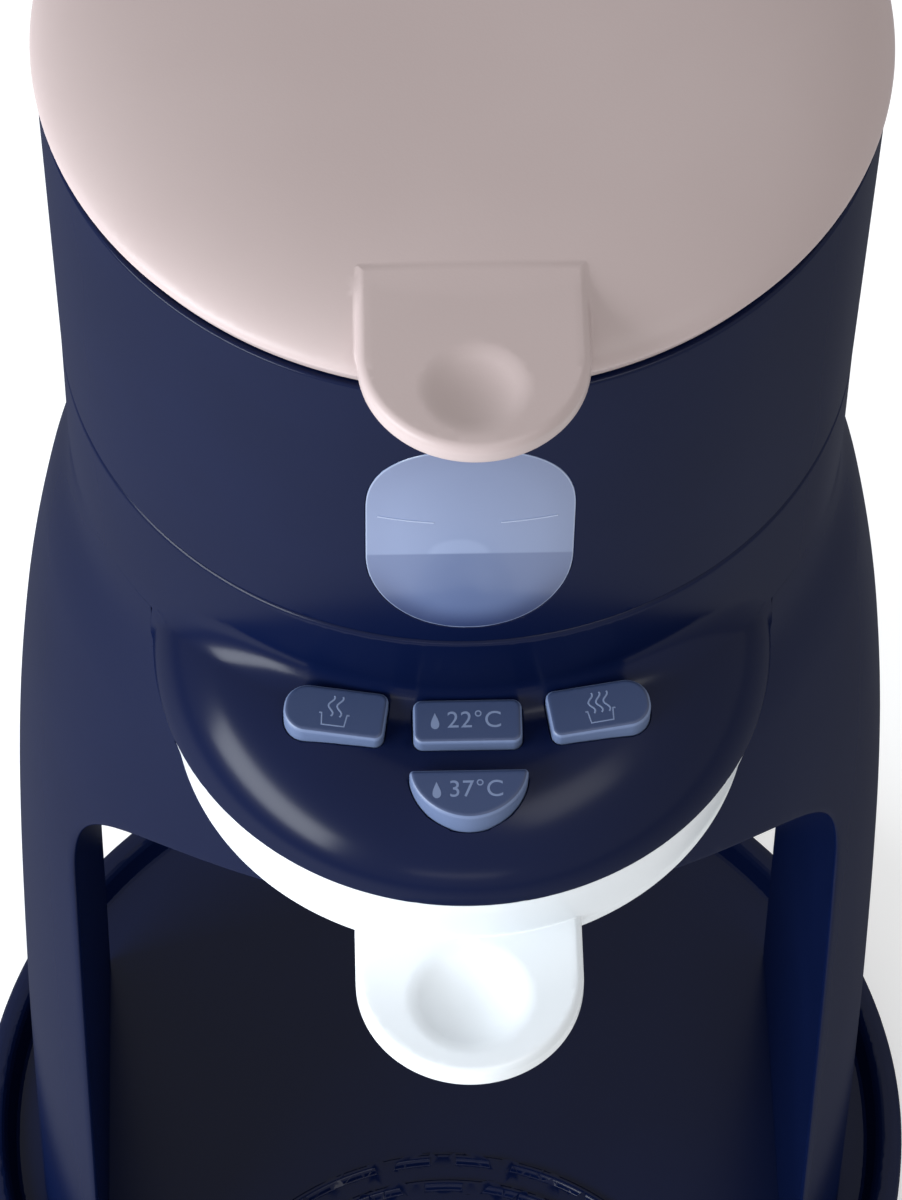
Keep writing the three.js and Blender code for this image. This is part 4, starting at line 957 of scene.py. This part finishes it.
def dish_stroke(width, height, y, lip=0.35, taper=0.2):
    """An open dish with a lip on either side."""
    half = width / 2
    return [(-half - lip, y + height), (-half, y + height), (-half + taper, y),
            (half - taper, y), (half, y + height), (half + lip, y + height)]


def filled(strokes, name):
    """Closed outlines filled flat."""
    curve = bpy.data.curves.new(name, "CURVE")
    curve.dimensions = "2D"
    curve.fill_mode = "BOTH"
    curve.extrude = PRINT_RISE
    for stroke in strokes:
        spline = curve.splines.new("POLY")
        spline.points.add(len(stroke) - 2)
        for point, place in zip(spline.points, stroke[:-1]):
            point.co = (*place, 0, 1)
        spline.use_cyclic_u = True
    return curve


def text_curve(words, size):
    curve = bpy.data.curves.new("figures", "FONT")
    curve.body = words
    curve.size = size
    curve.align_x = "LEFT"
    curve.align_y = "CENTER"
    curve.extrude = PRINT_RISE
    curve.space_character = 1.05
    return curve


def print_keys():
    ink = flat_ink("key print", (0.135, 0.18, 0.3), (0.155, 0.2, 0.325))
    for node, body, words, y in (("cool", "cool_water_button", "22°C", COOL_KEY["y"]),
                                 ("warm", "warm_water_button", "37°C", WARM_KEY["y"] - 0.1)):
        matrix = key_matrix(0, y)
        figures = to_mesh(f"{node}_key_figures", text_curve(words, FIGURE_SIZE),
                          matrix @ Matrix.Translation((FIGURES_LEFT, 0, 0)))
        dressed(figures, body, "key_face", ink)
        drop = to_mesh(f"{node}_key_drop", filled([drop_stroke(DROP_PLACE, 0, DROP_SIZE)], "drop"), matrix)
        dressed(drop, body, "key_face", ink)
    for side, kind, waves in ((-1, "warm_steam", (-0.6, 0.6)), (1, "sterilise_steam", (-1.05, 0.0, 1.05))):
        matrix = key_matrix(side * SIDE_KEY["reach"], SIDE_KEY["y"], side * SIDE_KEY["turn"])
        strokes = [wave_stroke(x, WAVE_LOW, WAVE_HEIGHT) for x in waves]
        strokes.append(dish_stroke(DISH_WIDTH, DISH_DEPTH, DISH_LOW))
        sign = to_mesh(kind + "_print", curve_of(strokes, SIGN_LINE), matrix, flatten=SIGN_FLATNESS)
        dressed(sign, kind + "_button", "key_face", ink)


def print_level_line():
    """The level line on the window, in two stretches with a bare gap between them."""
    ink = flat_ink("level line", (0.3, 0.35, 0.48), (0.33, 0.38, 0.52))
    radius = tank_radius(np.array(LEVEL_LINE)) + LEVEL_LINE_RISE
    strokes = []
    for start, end in LEVEL_STRETCHES:
        strokes.append([(x, -math.sqrt(radius ** 2 - x ** 2), LEVEL_LINE)
                        for x in np.linspace(start, end, 12)])
    matrix = Matrix.Translation(Vector(AXIS) * MM) @ Matrix.Scale(MM, 4)
    line = to_mesh("level_line", curve_of(strokes, LEVEL_LINE_WIDTH), matrix)
    dressed(line, "tank", "tank_tint", ink)


# Pieces

def build_pieces():
    pieces = (
        ("tray_skin", "base_tray", base_tray, 1.4, "housing", "navy_housing"),
        ("arch_skin", "arch_housing", arch_housing, 1.45, "housing", "navy_housing"),
        ("head_skin", "head_housing", head_housing, 0.9, "housing", "navy_housing"),
        ("drawer_skin", "mixing_drawer", mixing_drawer, 0.75, "drawer", "white_drawer"),
        ("sleeve_skin", "tank_sleeve", tank_sleeve, 0.95, "tank", "navy_housing"),
        ("vessel_skin", "tank_vessel", tank_vessel, 1.1, "tank", "tank_tint"),
        ("lid_skin", "lid", lid, 0.85, "tank_lid", "pink_lid"),
    )
    for name, node, field, cell, body, slot in pieces:
        shaped(name, node, field, cell, body, slot, FINISH[slot])
    key_bodies = {
        "steam_warm_key": "warm_steam_button", "steam_sterilise_key": "sterilise_steam_button",
        "cool_water_key": "cool_water_button", "warm_water_key": "warm_water_button",
    }
    for node, body in key_bodies.items():
        shaped(node + "_cap", node, key_field(node), 0.28, body, "key_face", FINISH["key_face"])


def finish_nodes():
    """Every solid that still shows gets the finish of its slot."""
    slots = {row["node"]: row["material_slot"] for row in frame["record"]["subparts"]}
    for name, node in frame["nodes"].items():
        node.data.materials.clear()
        node.data.materials.append(FINISH[slots[name]])


# Stage, light and camera

def softbox(name, place, aim, size, power, colour=(1, 1, 1)):
    light = bpy.data.lights.new(name, "AREA")
    light.shape = "RECTANGLE"
    light.size, light.size_y = size
    light.energy = power
    light.color = colour
    lamp = bpy.data.objects.new(name, light)
    lamp.location = place
    lamp.rotation_euler = (Vector(aim) - Vector(place)).to_track_quat("-Z", "Y").to_euler()
    bpy.context.scene.collection.objects.link(lamp)


def pale_floor():
    sheet = bmesh.new()
    bmesh.ops.create_grid(sheet, x_segments=1, y_segments=1, size=3.0)
    mesh = bpy.data.meshes.new("floor")
    sheet.to_mesh(mesh)
    sheet.free()
    floor = bpy.data.objects.new("floor", mesh)
    bpy.context.scene.collection.objects.link(floor)
    material = bpy.data.materials.new("pale floor")
    material.use_nodes = True
    shader = next(n for n in material.node_tree.nodes if n.type == "BSDF_PRINCIPLED")
    shader.inputs["Base Color"].default_value = (0.95, 0.95, 0.95, 1)
    shader.inputs["Roughness"].default_value = 0.9
    shader.inputs["Emission Color"].default_value = (1, 1, 1, 1)
    path = material.node_tree.nodes.new("ShaderNodeLightPath")
    lift = material.node_tree.nodes.new("ShaderNodeMapRange")
    lift.inputs["To Max"].default_value = FLOOR_LIFT
    material.node_tree.links.new(path.outputs["Is Camera Ray"], lift.inputs["Value"])
    material.node_tree.links.new(lift.outputs["Result"], shader.inputs["Emission Strength"])
    mesh.materials.append(material)


def studio_world():
    """A bright white room for the camera and for gloss, and a plain level of light on the object."""
    world = bpy.data.worlds.new("studio")
    world.use_nodes = True
    bpy.context.scene.world = world
    tree = world.node_tree
    back = tree.nodes["Background"]
    back.inputs["Color"].default_value = (1, 1, 1, 1)
    path = tree.nodes.new("ShaderNodeLightPath")
    seen = tree.nodes.new("ShaderNodeMath")
    seen.operation = "MAXIMUM"
    tree.links.new(path.outputs["Is Camera Ray"], seen.inputs[0])
    tree.links.new(path.outputs["Is Transmission Ray"], seen.inputs[1])
    gloss = tree.nodes.new("ShaderNodeMath")
    gloss.operation = "MAXIMUM"
    tree.links.new(seen.outputs[0], gloss.inputs[0])
    tree.links.new(path.outputs["Is Glossy Ray"], gloss.inputs[1])
    level = tree.nodes.new("ShaderNodeMapRange")
    level.inputs["To Min"].default_value = WORLD_LEVEL
    level.inputs["To Max"].default_value = WHITE_LEVEL
    tree.links.new(gloss.outputs[0], level.inputs["Value"])
    tree.links.new(level.outputs["Result"], back.inputs["Strength"])


def camera():
    """Fitted to the photograph: the lens looks down at the machine's front from a little to its left."""
    pan, tilt, roll = CAMERA_PAN, CAMERA_TILT, CAMERA_ROLL
    forward = Vector((math.sin(pan) * math.cos(tilt), math.cos(pan) * math.cos(tilt), -math.sin(tilt)))
    right = Vector((math.cos(pan), -math.sin(pan), 0))
    up = right.cross(forward)
    turned_right = right * math.cos(roll) + up * math.sin(roll)
    turned_up = up * math.cos(roll) - right * math.sin(roll)
    place = (Vector(CAMERA_PLACE) + Vector(AXIS)) * MM
    data = bpy.data.cameras.new("photo view")
    data.lens = LENS
    data.sensor_width = SENSOR
    data.sensor_fit = "AUTO"
    data.clip_start = 0.05
    view = bpy.data.objects.new("photo view", data)
    facing = Matrix((turned_right, turned_up, -forward)).transposed().to_4x4()
    view.matrix_world = Matrix.Translation(place) @ facing
    bpy.context.scene.collection.objects.link(view)
    bpy.context.scene.camera = view


def light_and_view():
    scene = bpy.context.scene
    scene.view_settings.view_transform = "Standard"
    studio_world()
    pale_floor()
    softbox("left softbox", (-0.6, -0.36, 0.44), (0, -0.05, 0.26), (0.56, 0.26), 8.0, (0.9, 0.95, 1.0))
    softbox("right softbox", (0.34, -0.44, 1.15), (0, -0.05, 0.24), (0.4, 0.3), 1.6)
    softbox("front strip", (-0.05, -1.1, 0.5), (0, 0, 0.25), (0.5, 0.08), 0.5)
    camera()


light_and_view()
finish_nodes()
build_pieces()
print_keys()
print_level_line()
